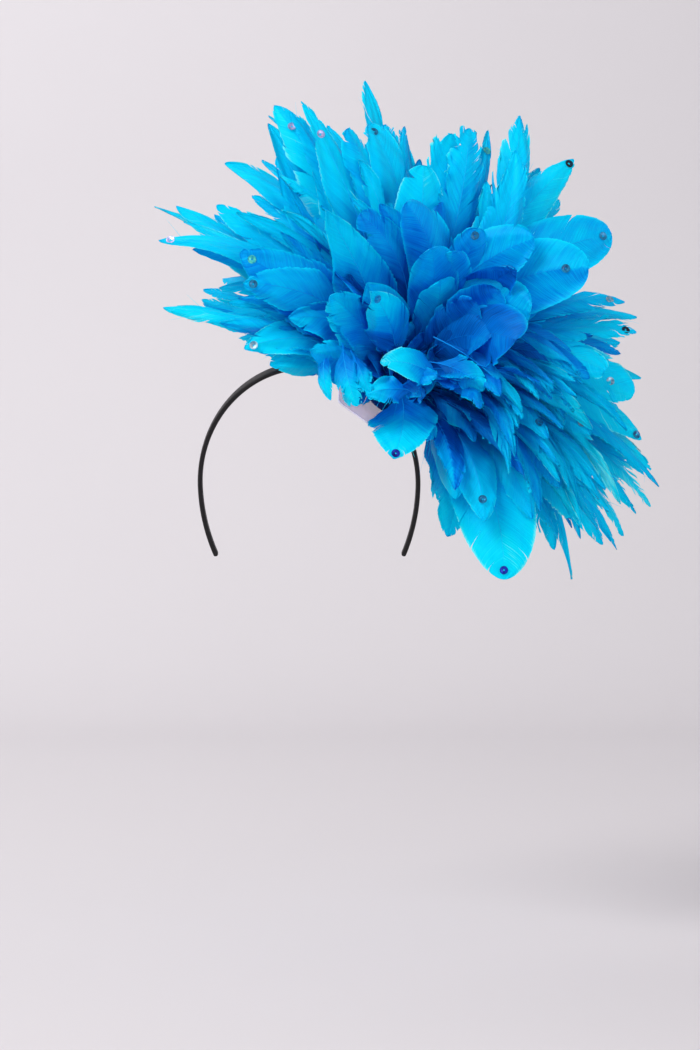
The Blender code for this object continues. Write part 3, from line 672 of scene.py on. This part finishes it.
def shapeVane(plan, pattern, side, chance):  # one side of a feather: its points, UVs and dye with painted shade at the root
    count, border, out = pattern["count"], pattern["border"], pattern["out"]
    rag, root = plan.rag, feather["bareRoot"]
    attach = root + (1 - root) * (np.arange(count + 1) / count) ** 0.92
    # Barbs hold together in groups; between groups the vane is split and each group has its own set
    often = feather["splits"][0] + feather["splits"][1] * rag
    cut = chance.random(count) < often * (0.30 + attach[:count] ** 2 + attach[:count] ** 8)
    group = np.cumsum(cut)
    groups = group.max() + 1
    first = np.array([np.argmax(group == g) for g in range(groups)])
    last = np.append(first[1:], count)
    centre = (attach[first] + attach[last]) / 2
    splitFrom = chance.uniform(*feather["splitFrom"], groups) * (1.0 - 0.40 * rag)
    taper = chance.uniform(*feather["taper"], groups) * (0.10 + rag)
    swing = chance.normal(0.0, feather["swing"], groups) * (0.08 + rag)
    lifting = chance.normal(0.0, feather["lifting"], groups) * (0.2 + rag)
    short = 1.0 - chance.random(groups) * feather["shorter"] * rag
    fray = feather["fray"][0] + feather["fray"][1] * rag
    frayed = 1.0 - chance.random(count + 1) * fray * (1.0 + 1.2 * attach**6)

    mine = group[pattern["strip"]]
    a = attach[border]
    beyond = (np.clip((out - splitFrom[mine]) / (1.0 - splitFrom[mine]), 0.0, 1.0)) ** 1.6
    a = a + (centre[mine] - a) * np.clip(taper[mine], 0.0, 0.92) * beyond
    v = a + (1 - a) * between(feather["sweep"], a**3) * out ** feather["barbCurve"]
    half = halfWidth(plan, v)
    reach = out * (1.0 + (frayed[border] * short[mine] - 1.0) * out**3)
    arc = half * reach
    bend = max(plan.fold, 0.06) * 2.1 / plan.width  # the cross-section is an arc round the quill
    x = np.sin(bend * arc) / bend
    z = -(1.0 - np.cos(bend * arc)) / bend
    waves = chance.uniform(1.2, 3.2)
    calm = 0.3 if plan.outline in feather["petals"] else 1.0  # petals stay smooth, long feathers wave
    deep = feather["ripple"][0] + feather["ripple"][1] * plan.fold
    ripple = calm * deep * np.sin(2 * math.pi * (waves * v + chance.random()))
    z = z + half * out**1.5 * ripple + beyond * half * lifting[mine]
    valley = chance.normal(*feather["valley"]) * (0.5 + 0.5 * calm)
    pleats = chance.uniform(1.0, 2.0) * out + chance.uniform(1.5, 4.0) * v + chance.random()
    pleat = np.sin(2 * math.pi * pleats)
    z = z + x * valley * (1.0 - 0.5 * out) + feather["pleat"] * pleat * np.sqrt(out) * (0.4 + plan.fold)
    flap = np.clip(out - chance.uniform(0.40, 0.75), 0.0, 1.0) * chance.normal(*feather["flap"])
    flap = flap * (0.35 + plan.fold) * calm
    z = z + half * flap
    x = x * (1.0 - 0.35 * np.abs(flap))
    if not plan.lifted:
        turn = chance.normal(0.0, feather["twist"]) * (v - 0.15)
        x, z = x * np.cos(turn) - side * z * np.sin(turn), z * np.cos(turn) + side * x * np.sin(turn)
    place, heading, sideways, outward = alongQuill(plan, v)
    z = z + glueLift(plan, v)
    points = place + sideways * (side * x)[:, None] + outward * z[:, None]
    points = points + heading * (beyond * half * swing[mine])[:, None]
    length = np.linalg.norm(plan.tip - plan.start)
    shift = chance.random() * 4.0
    spread = np.stack((a * length + shift, side * arc + shift), axis=1)
    # Painted shade: the dye is drawn deeper towards the root, standing in for the shade in the plume's heart
    rise = np.clip((v - 0.26) / 0.64, 0.0, 1.0)
    dyeAndShade = plan.tone * (0.25 + 0.75 * rise * rise * (3 - 2 * rise)) + chance.normal(0.0, 0.06)
    dyeAndShade = dyeAndShade + (chance.random(groups)[mine] - 0.5) * 0.10
    return points, spread, dyeAndShade, out


vanePatterns = {}


def makeVanes(name, plans, strips, steps, seed, finish, stands=()):
    if (strips, steps) not in vanePatterns:
        vanePatterns[strips, steps] = cutVanePattern(strips, steps)
    pattern = vanePatterns[strips, steps]
    chance = np.random.default_rng(seed)
    parts = []
    for plan in plans:
        for side in (1, -1):
            points, spread, dyeAndShade, rim = shapeVane(plan, pattern, side, chance)
            faces = pattern["faces"] if side < 0 else pattern["faces"][:, ::-1]
            parts.append((points, faces, spread, dyeAndShade, rim))
    piece = meshFromArrays(name, parts)
    closeSeams(piece)
    finishPiece(piece, name, [finish], stands)
    print(name, len(plans), "feathers,", len(piece.data.polygons) * 2, "triangles")


quill = {"radius": (0.00046, 0.00007), "sides": 5, "stations": 12, "end": 0.985, "proud": 0.00006}


def makeQuills(name, plans, finish):  # the quills, each a thin tapered tube just proud of its vane
    sides, stations = quill["sides"], quill["stations"]
    u = np.linspace(0.0, quill["end"], stations)
    ring = 2 * math.pi * np.arange(sides) / sides
    i, j = np.meshgrid(np.arange(stations - 1), np.arange(sides), indexing="ij")
    near, far = i * sides + j, i * sides + (j + 1) % sides
    walls = np.stack((near, near + sides, far + sides, far), axis=-1).reshape(-1, 4)
    parts = []
    for plan in plans:
        place, heading, sideways, outward = alongQuill(plan, u)
        radius = between(quill["radius"], u**0.75)
        radius[-1] = 1e-5
        proud = radius * 0.4 + quill["proud"] * (1 - u) + glueLift(plan, u)
        middle = place + outward * proud[:, None]
        around = sideways[:, None] * np.cos(ring)[None, :, None]
        around = around + outward[:, None] * np.sin(ring)[None, :, None]
        points = (middle[:, None] + around * radius[:, None, None]).reshape(-1, 3)
        length = np.linalg.norm(plan.tip - plan.start)
        spread = np.stack(np.meshgrid(u * length, ring * 0.0003, indexing="ij"), axis=-1).reshape(-1, 2)
        # Painted shade: each quill is drawn darker towards its root
        parts.append((points, walls, spread, np.repeat(plan.tone * (0.30 + 0.70 * u), sides)))
    piece = meshFromArrays(name, parts)
    closeSeams(piece, 1e-7)
    finishPiece(piece, name, [finish])
    print(name, len(piece.data.polygons) * 2, "triangles")


def vaneMaterial():
    # Goose vane, dip-dyed turquoise: satin barbs that pass light, drawn deep blue towards the root as painted
    # shade, with a thin rim drawn pale, partly paler barb ends and partly a painted highlight
    made, tree, shader = newFinish("dyedGooseVane")
    flat = {"noise_dimensions": "2D"}
    dyeAndShade = addNode(tree, "Attribute", {"attribute_name": "dyeAndShade"}).outputs["Fac"]
    rim = addNode(tree, "Attribute", {"attribute_name": "rim"}).outputs["Fac"]
    uv = addNode(tree, "UVMap", {"uv_map": "barbs"})
    # Barbs lie 0.3 mm apart; drawn as 0.9 mm streaks so that they show
    lines = addNode(tree, "Mapping", values={"Scale": (1 / 0.0009, 1 / 0.018, 1.0)}, links={"Vector": uv})
    streak = addNode(tree, "TexNoise", flat, {"Scale": 1.0, "Detail": 3.0}, {"Vector": lines})
    # The dye clouds over about 20 mm
    patch = addNode(tree, "TexNoise", flat, {"Scale": 1 / 0.020, "Detail": 2.0}, {"Vector": uv})
    # Now and then a painted highlight: a pale glint line about 1 mm wide along the barbs, stronger where the
    # dye is bright
    apart = addNode(tree, "Mapping", links={"Vector": uv},
                    values={"Location": (3.7, 1.3, 0.0), "Scale": (1 / 0.0013, 1 / 0.045, 1.0)})
    glintNoise = addNode(tree, "TexNoise", flat, {"Scale": 1.0, "Detail": 1.0}, {"Vector": apart})
    paintedGlintLine = addNode(tree, "MapRange", values={"From Min": 0.66, "From Max": 0.80, "To Max": 0.20},
                       links={"Value": glintNoise})
    timesPlus = {"operation": "MULTIPLY_ADD"}
    paintedGlintByTone = addNode(tree, "Math", {"operation": "MULTIPLY"}, links={0: paintedGlintLine, 1: dyeAndShade})
    streaksAndGlints = addNode(tree, "Math", timesPlus, {1: 0.41}, {0: streak, 2: paintedGlintByTone})
    patched = addNode(tree, "Math", timesPlus, {1: 0.44, 2: -0.43}, {0: patch})
    both = addNode(tree, "Math", {"operation": "ADD"}, links={0: streaksAndGlints, 1: patched})
    body = addNode(tree, "Math", {"operation": "ADD"}, links={0: both, 1: dyeAndShade})
    # The thin rim is drawn paler: partly the thinner barb ends, partly a painted highlight where the edges
    # catch the light
    rimAndPaintedHighlight = addNode(tree, "Math", {"operation": "POWER"}, {1: 13.0}, {0: rim})
    withRimAndHighlight = addNode(tree, "Math", timesPlus, {1: 0.46}, {0: rimAndPaintedHighlight, 2: body})
    total = addNode(tree, "Math", {"operation": "MULTIPLY"}, {1: 0.8}, {0: withRimAndHighlight})
    colour = addNode(tree, "ValToRGB", links={"Fac": total},
                     stops=((0.0, "#0044a4"), (0.18, "#007ade"), (0.36, "#00a6ee"), (0.56, "#00cef8"),
                            (0.72, "#00deff"), (0.9, "#06eaff"), (1.0, "#70f8ff")))
    deeper = addNode(tree, "Gamma", values={"Gamma": 1.2}, links={"Color": colour})
    bump = addNode(tree, "Bump", values={"Strength": 0.6, "Distance": 0.0007}, links={"Height": streak})
    rough = addNode(tree, "MapRange", values={"To Min": 0.26, "To Max": 0.50}, links={"Value": streak})
    setUp(tree, shader, {"IOR": 1.54, "Specular IOR Level": 0.6, "Specular Tint": linearColour("#38ccff"),
                         "Sheen Weight": 0.25, "Sheen Roughness": 0.4, "Sheen Tint": linearColour("#10b4ff")},
          {"Base Color": colour, "Roughness": rough, "Normal": bump})
    through = addNode(tree, "BsdfTranslucent", links={"Color": deeper})
    mixed = addNode(tree, "MixShader", values={0: 0.36}, links={1: shader, 2: through})
    setUp(tree, tree.nodes["Material Output"], links={"Surface": mixed})
    return made


def quillMaterial():
    # Dyed quill: the horny shaft takes less dye, so it is paler and glossier than the vane
    made, tree, shader = newFinish("dyedQuillShaft")
    dyeAndShade = addNode(tree, "Attribute", {"attribute_name": "dyeAndShade"}).outputs["Fac"]
    uv = addNode(tree, "UVMap", {"uv_map": "barbs"})
    # Grain about 1.2 mm across
    grain = addNode(tree, "TexNoise", {"noise_dimensions": "2D"}, {"Scale": 1 / 0.0025, "Detail": 2.0},
                    {"Vector": uv})
    total = addNode(tree, "Math", {"operation": "MULTIPLY_ADD"}, {1: 0.3}, {0: grain, 2: dyeAndShade})
    colour = addNode(tree, "ValToRGB", links={"Fac": total},
                     stops=((0.1, "#0450b8"), (0.6, "#028ee4"), (1.0, "#1cc8f6")))
    setUp(tree, shader, {"Roughness": 0.35, "IOR": 1.54, "Specular Tint": linearColour("#40c8ff")},
          {"Base Color": colour})
    return made


barb = {
    "width": 0.00028,
    "steps": 6,
    "perFeather": 5,
    "hubWisps": 46,
    "hubReach": 0.022,
    "bandWisps": 18,
    "bandTuft": (0.022, -0.026, -0.036),  # from the dome's centre
}


def makeLooseBarbs(name, plans, finish, seed):  # single barbs that stand away from the vanes, and root down
    chance = np.random.default_rng(seed)
    t = np.linspace(0.0, 1.0, barb["steps"] + 1)
    lines = []
    for plan in plans:
        for _ in range(int(barb["perFeather"] * (0.5 + 1.6 * plan.rag))):
            side = chance.choice((-1.0, 1.0))
            u = np.array([chance.uniform(0.12, 0.93)])
            place, heading, sideways, outward = (part[0] for part in alongQuill(plan, u))
            half = float(halfWidth(plan, u)[0])
            root = place + sideways * side * half * 0.55
            way = sideways * side * chance.uniform(0.35, 1.0) + heading
            way = unit(way + outward * chance.normal(0.0, 0.35))
            lines.append((root, way, outward * chance.normal(0.0, 0.6) + heading * chance.normal(0.2, 0.3),
                          chance.uniform(0.005, 0.013), plan.tone))
    for _ in range(barb["hubWisps"]):
        turn = chance.uniform(0, 2 * math.pi)
        flat = alongBand * math.cos(turn) + forward * math.sin(turn)
        out = unit(flat + plumeAxis * chance.uniform(-0.25, 0.6))
        lines.append((domeCentre + out * barb["hubReach"], out, unit(chance.normal(0.0, 1.0, 3)) * 0.6,
                      chance.uniform(0.018, 0.040), 0.7))
    for _ in range(barb["bandWisps"]):  # a tuft that hangs over the band below the plate
        root = domeCentre + np.array(barb["bandTuft"]) + chance.normal(0.0, 0.0035, 3)
        way = unit(np.array((-0.30, -0.15, -1.0)) + chance.normal(0.0, 0.24, 3))
        lines.append((root, way, chance.normal(0.0, 0.4, 3), chance.uniform(0.012, 0.026), 0.8))
    strip = np.array([(2 * i, 2 * i + 1, 2 * i + 3, 2 * i + 2) for i in range(barb["steps"])])
    parts = []
    for root, way, curl, length, tone in lines:
        middle = root + np.outer(t * length, way) + np.outer(t * t * length * 0.5, curl)
        half = unit(np.cross(way, curl + 1e-3)) * (barb["width"] / 2 * (1.0 - 0.8 * t))[:, None]
        points = np.stack((middle + half, middle - half), axis=1).reshape(-1, 3)
        parts.append((points, strip, points[:, :2], np.full(len(points), tone + 0.1)))
    piece = meshFromArrays(name, parts)
    finishPiece(piece, name, [finish])
    print(name, len(lines), "barbs")


sequin = {
    "radius": 0.0027,
    "lift": 0.00024,
    "cup": 0.00032,
    "film": 0.00009,
    "facets": 24,
    # For each ring of faces, how far in it comes and how far down, in cup depths
    "rings": ((0.00045, 0.0), (0.00075, -0.45), (0.00050, -0.45), (0.00040, -0.10)),
    "crease": 35,
}
ridgeStations = (0.0, 0.22, 0.46, 0.70, 0.90)


def ridgePlace(plan, u):  # the CAD blade's ridge at u, straight between its stations, and its heading
    stations = np.array(ridgeStations)
    place, _, _, outward = alongQuill(plan, stations)
    ridge = list(place + outward * feather["sheetLift"]) + [plan.tip]
    ends = list(ridgeStations) + [1.0]
    i = max(i for i, station in enumerate(ends[:-1]) if station <= u)
    share = (u - ends[i]) / (ends[i + 1] - ends[i])
    return ridge[i] + (ridge[i + 1] - ridge[i]) * share, unit(ridge[i + 1] - ridge[i])


def pressSequinPattern():  # a disc inset and raised into a cupped sequin with a punched hole
    deselectAll()
    bpy.ops.mesh.primitive_circle_add(vertices=sequin["facets"], radius=sequin["radius"], fill_type="NGON")
    piece = bpy.context.object
    editMesh()
    for inset, drop in sequin["rings"]:
        bpy.ops.mesh.inset(thickness=inset, depth=drop * sequin["cup"])
    bpy.ops.mesh.delete(type="FACE")
    endEdit()
    points = readPoints(piece)
    points[:, 2] -= points[:, 2].min()
    writePoints(piece, points)
    return piece


# Each film's deep and pale tone, and its thickness in nm
filmColours = {
    "navy": ("#06186a", "#1234b4", 320.0),
    "silver": ("#4f8cac", "#9cb8c8", 260.0),
    "lilac": ("#5f96c8", "#c3b3de", 300.0),
    "green": ("#0a9cb4", "#5cdcc0", 300.0),
    "teal": ("#04507c", "#0a86b4", 280.0),
    "azure": ("#0a7cc0", "#1cb4e4", 280.0),
    "smoke": ("#04121c", "#0a3650", 300.0),
}


def sequinMaterial(name, deep, pale, film):
    # Pressed polyester film, vacuum coated: mirror-like with a thin-film shift of hue.
    # Colour drifts across a cup over about 2 mm
    return mottledFinish(name + "Film", {"Scale": 1 / 0.002, "Detail": 2.0}, ((0.35, deep), (0.65, pale)),
                         {"Metallic": 0.55, "Roughness": 0.38, "Thin Film Thickness": film,
                          "Thin Film IOR": 1.35, "Coat Weight": 0.25, "Coat Roughness": 0.12})


def makeSequins(plansByNode):
    films = {name: sequinMaterial(name, *colours) for name, colours in filmColours.items()}
    pattern = pressSequinPattern()
    for node, (plan, u, film) in plansByNode.items():
        ridge, heading = ridgePlace(plan, u)
        _, _, _, outward = (part[0] for part in alongQuill(plan, np.array([u])))
        outward = unit(outward - heading * heading.dot(outward))
        sideways = np.cross(heading, outward)
        cup = pattern.copy()
        cup.data = pattern.data.copy()
        bpy.context.scene.collection.objects.link(cup)
        turned = readPoints(pattern) @ np.array((heading, sideways, outward))
        writePoints(cup, turned + ridge + outward * sequin["lift"])
        thick = cup.modifiers.new("film", "SOLIDIFY")
        thick.thickness = sequin["film"]
        selectOnly(cup)
        bpy.ops.object.modifier_apply(modifier=thick.name)
        faceOutwards()
        name = "cup" + node.title().replace("_", "")
        finishPiece(cup, name, [films[film]], [node], sequin["crease"])
    bpy.data.objects.remove(pattern)
    print("sequins", len(plansByNode))


sequinFilms = (
    "silver lilac green lilac lilac teal teal green smoke teal teal silver smoke silver silver teal green"
    " navy green teal azure teal silver teal teal navy"
).split()


# Short feathers that close the heart of the plume over the felt, set in a spiral; their low tone is painted
# shade in the heart
hub = {
    "count": 30,
    "turn": 137.5,
    "lowest": -0.55,  # sine of the bearing
    "reach": (0.010, 0.044),
    "depth": (-0.036, -0.024),
    "ranges": ((0.020, 0.028), (0.10, 0.35), (0.2, 0.6), (0.1, 0.5)),  # width, tone, fold and rag
}

# Copies that lie behind the shown feathers, their tone lowered as painted shade between the layers: how far
# they swing round in degrees, then the ranges of the other changes to a row
rowCopy = namedtuple("rowCopy", "swing reach depth width tone fold")
underCopy = rowCopy(3.5, (0.72, 0.92), (0.004, 0.020), (0.75, 1.0), (-0.40, -0.05), (-0.1, 0.2))
heartCopy = rowCopy(6.0, (0.70, 0.95), (0.010, 0.024), (0.75, 1.0), (-0.15, 0.12), (0.0, 0.3))

# Long narrow feathers that lie over the broad ones in two fans: low on the wearer's left, and over the crown.
# Of each pair of reach and depth the first is the shortest feather's and the second the longest's.
# evenness: below 1 most are long. dullest: the least tone of a short one.
featherFan = namedtuple("featherFan", "count bearings reach depth bow width fold evenness dullest")
featherFans = (
    featherFan(46, (-1, -46), (0.08, 0.166), (-0.086, -0.037), 0.008, (0.009, 0.015), (0.9, 1.4), 0.65, 0.26),
    featherFan(16, (97, 175), (0.112, 0.152), (-0.04, -0.012), 0, (0.012, 0.02), (0.6, 1.0), 1.0, 0.48),
)
flow = {
    "clear": 4.0,  # degrees to a sequin's feather that a narrow one stays short of
    "gap": 0.010,
    "petals": -14.0,  # from here to level the narrow feathers are shorter, so two bright petals stay in view
    "petalReach": 0.40,
}


def planFan(fan, chance):
    plans = []
    for i in range(fan.count):
        down, far = (i + chance.random()) / fan.count, chance.random() ** fan.evenness
        bearing = between(fan.bearings, down)
        if flow["petals"] < bearing < 0.0:
            far *= flow["petalReach"]
        reach, depth = between(fan.reach, far), between(fan.depth, far)
        for row in frontFeathers + outerFeathers:
            if row.sequin and row.reach > 0.09 and abs(bearing - row.bearing) < flow["clear"]:
                reach = min(reach, row.reach * row.sequin - flow["gap"])
        width, bow = chance.uniform(*fan.width), chance.normal(fan.bow, 0.006)
        # Short ones are drawn darker, as painted shade within the plume; the rest of the spread is random
        # tone
        tone = chance.uniform(fan.dullest, 0.70) + 0.48 * far
        fold, rag = chance.uniform(*fan.fold), chance.uniform(0.3, 0.8)
        plan = planShown(shownFeather(bearing, reach, depth, width, bow, 0.7, tone, fold, rag))
        plans.append(plan._replace(look=plan.look + chance.normal(0.0, 0.35, 3)))
    return plans


def makePlume():
    vanes, shafts = vaneMaterial(), quillMaterial()
    chance = np.random.default_rng(41)
    outer = [planShown(row) for row in outerFeathers]
    front = [planShown(row) for row in frontFeathers]
    small = [planShown(row) for row in smallFeathers] + [planDraped(row) for row in drapedFeathers]
    under, heart = [], []
    for row in outerFeathers:
        for _ in range(2):
            swing = chance.normal(0.0, underCopy.swing)
            if row.bearing > 155.0:  # none hangs out below the lowest row
                swing = -abs(swing)
            under.append(planShown(row, swing, *[chance.uniform(*pair) for pair in underCopy[1:]]))
    for row in frontFeathers:
        if row.reach < 0.06 or (row.bearing < -58.0 and row.reach < 0.09):
            continue
        swing = chance.normal(0.0, heartCopy.swing)
        plan = planShown(row, swing, *[chance.uniform(*pair) for pair in heartCopy[1:]])
        heart.append(plan._replace(rag=0.10))
    narrow = [plan for fan in featherFans for plan in planFan(fan, chance)]
    for i in range(hub["count"]):
        out = i / hub["count"]
        bearing = math.radians(hub["turn"] * i)
        if math.sin(bearing) < hub["lowest"]:
            continue
        tip = domeCentre + np.array((math.cos(bearing), 0.0, math.sin(bearing))) * between(hub["reach"], out)
        tip[1] += between(hub["depth"], out)
        heart.append(planQuill(tip, chance.normal(0.0, 0.002, 3), viewSide + plumeAxis * 0.2, "round",
                               *[chance.uniform(*pair) for pair in hub["ranges"]]))
    backs = planRings(chance, 3)
    makeVanes("frontFeathers", front + small, 72, 8, 3, vanes, ["feather_plume"])
    makeVanes("narrowFeathers", narrow, 48, 6, 4, vanes)
    makeVanes("outerFeathers", outer, 72, 8, 5, vanes)
    makeVanes("underFeathers", under, 34, 5, 7, vanes)
    makeVanes("heartFeathers", heart, 34, 5, 9, vanes)
    makeVanes("backFeathers", backs, 34, 5, 11, vanes)
    makeQuills("featherQuills", outer + front + small + narrow + under + heart + backs, shafts)
    makeLooseBarbs("looseBarbs", outer + front + backs, vanes, 13)
    rows = zip(outer + front, outerFeathers + frontFeathers)
    worn = [(plan, row.sequin) for plan, row in rows if row.sequin]
    makeSequins({f"sequin_{i + 1:02d}": (plan, u, sequinFilms[i]) for i, (plan, u) in enumerate(worn)})


studio = {
    "floorLevel": -0.388,
    "wallAway": 2.5,
    "halfWide": 4.0,
    "sweepRound": 0.9,
    "near": -3.2,
    "high": 4.2,
}


def backdropMaterial():
    # Matt seamless paper: pale lilac grey with a faint tooth; painted shade makes it darker towards the
    # front, where it lies on the floor
    made, tree, shader = newFinish("seamlessPaper")
    place = addNode(tree, "TexCoord").outputs["Object"]
    tooth = addNode(tree, "TexNoise", values={"Scale": 3.0, "Detail": 4.0}, links={"Vector": place})
    apart = addNode(tree, "SeparateXYZ", links={"Vector": place})
    # Painted shade: the colour is darker towards the front
    away = addNode(tree, "MapRange", values={"From Min": -1.0, "From Max": 2.0, "To Min": 0.0, "To Max": 0.9},
                   links={"Value": apart.outputs["Y"]})
    level = addNode(tree, "Math", {"operation": "MULTIPLY_ADD"}, {1: 0.1}, {0: tooth, 2: away})
    shade = addNode(tree, "ValToRGB", links={"Fac": level}, stops=((0.0, "#ccc9cc"), (1.0, "#dddbde")))
    setUp(tree, shader, {"Roughness": 0.9, "Specular IOR Level": 0.2}, {"Base Color": shade})
    return made


def makeStudio():
    deselectAll()
    bpy.ops.mesh.primitive_plane_add(size=2)
    sweep = bpy.context.object
    sweep.name = "studioSweep"
    away, near = studio["wallAway"], studio["near"]
    points = readPoints(sweep)
    points[:, 0] *= studio["halfWide"]
    points[:, 1] = np.where(points[:, 1] > 0, away, near)
    points[:, 2] = studio["floorLevel"]
    writePoints(sweep, points)
    for edge in sweep.data.edges:
        edge.select = all(points[v, 1] > 0 for v in edge.vertices)
    for polygon in sweep.data.polygons:
        polygon.select = False
    for vertex in sweep.data.vertices:
        vertex.select = bool(points[vertex.index, 1] > 0)
    bpy.ops.object.mode_set(mode="EDIT")
    bpy.ops.mesh.select_mode(type="EDGE")
    bpy.ops.mesh.extrude_region_move(TRANSFORM_OT_translate={"value": (0.0, 0.0, studio["high"])})
    endEdit()
    points = readPoints(sweep)
    for edge in sweep.data.edges:
        a, b = (points[v] for v in edge.vertices)
        edge.select = bool(abs(a[1] - away) < 1e-6 and abs(b[1] - away) < 1e-6 and max(a[2], b[2]) < 0.0)
    bpy.ops.object.mode_set(mode="EDIT")
    bpy.ops.mesh.bevel(offset=studio["sweepRound"], segments=16, affect="EDGES")
    endEdit()
    bpy.ops.object.shade_smooth()
    sweep.data.materials.append(backdropMaterial())


# Soft boxes: place, what it aims at, size across and power in watts
softBox = namedtuple("softBox", "name place aim size watts colour")
softBoxes = (
    softBox("keyBox", (-1.3, -1.5, 1.6), (0.03, 0.0, 0.0), 1.2, 58.0, "#fffcfa"),
    softBox("fillBox", (1.6, -1.7, -0.1), (0.08, 0.0, -0.03), 1.6, 29.0, "#f8f8ff"),
    softBox("wallBox", (-1.2, 0.9, 1.9), (-0.3, 2.5, 0.0), 1.8, 21.5, "#fffcfd"),
)
worldLight = {"colour": "#efebee", "strength": 0.50}


def makeLights():
    for box in softBoxes:
        bpy.ops.object.light_add(type="AREA", location=box.place)
        light = bpy.context.object
        light.name = box.name
        light.data.shape = "SQUARE"
        light.data.size = box.size
        light.data.energy = box.watts
        light.data.color = linearColour(box.colour)[:3]
        aim = Vector(box.aim) - Vector(box.place)
        light.rotation_euler = aim.to_track_quat("-Z", "Y").to_euler()
    world = bpy.data.worlds.new("studioAir")
    world.use_nodes = True
    sky = world.node_tree.nodes["Background"]
    sky.inputs["Color"].default_value = linearColour(worldLight["colour"])
    sky.inputs["Strength"].default_value = worldLight["strength"]
    bpy.context.scene.world = world


# The photograph is 700 x 1050 and covers 0.66 mm a pixel at the band; level camera 1.5 m in front
photoCamera = {"place": (0.0277, -1.5, -0.1039), "lens": 77.92, "sensor": 36.0}


def makeCamera():
    bpy.ops.object.camera_add(location=photoCamera["place"], rotation=(math.pi / 2, 0.0, 0.0))
    camera = bpy.context.object
    camera.name = "photoCamera"
    camera.data.lens = photoCamera["lens"]
    camera.data.sensor_width = photoCamera["sensor"]
    camera.data.clip_start = 0.05
    bpy.context.scene.camera = camera
    bpy.context.scene.view_settings.view_transform = "Standard"


makeCamera()
makeStudio()
makeLights()
print("studio ready")
makeSatinBand()
makeAcetatePlate()
makeQuillBase()
print("band, plate and felt base ready")
makePlume()
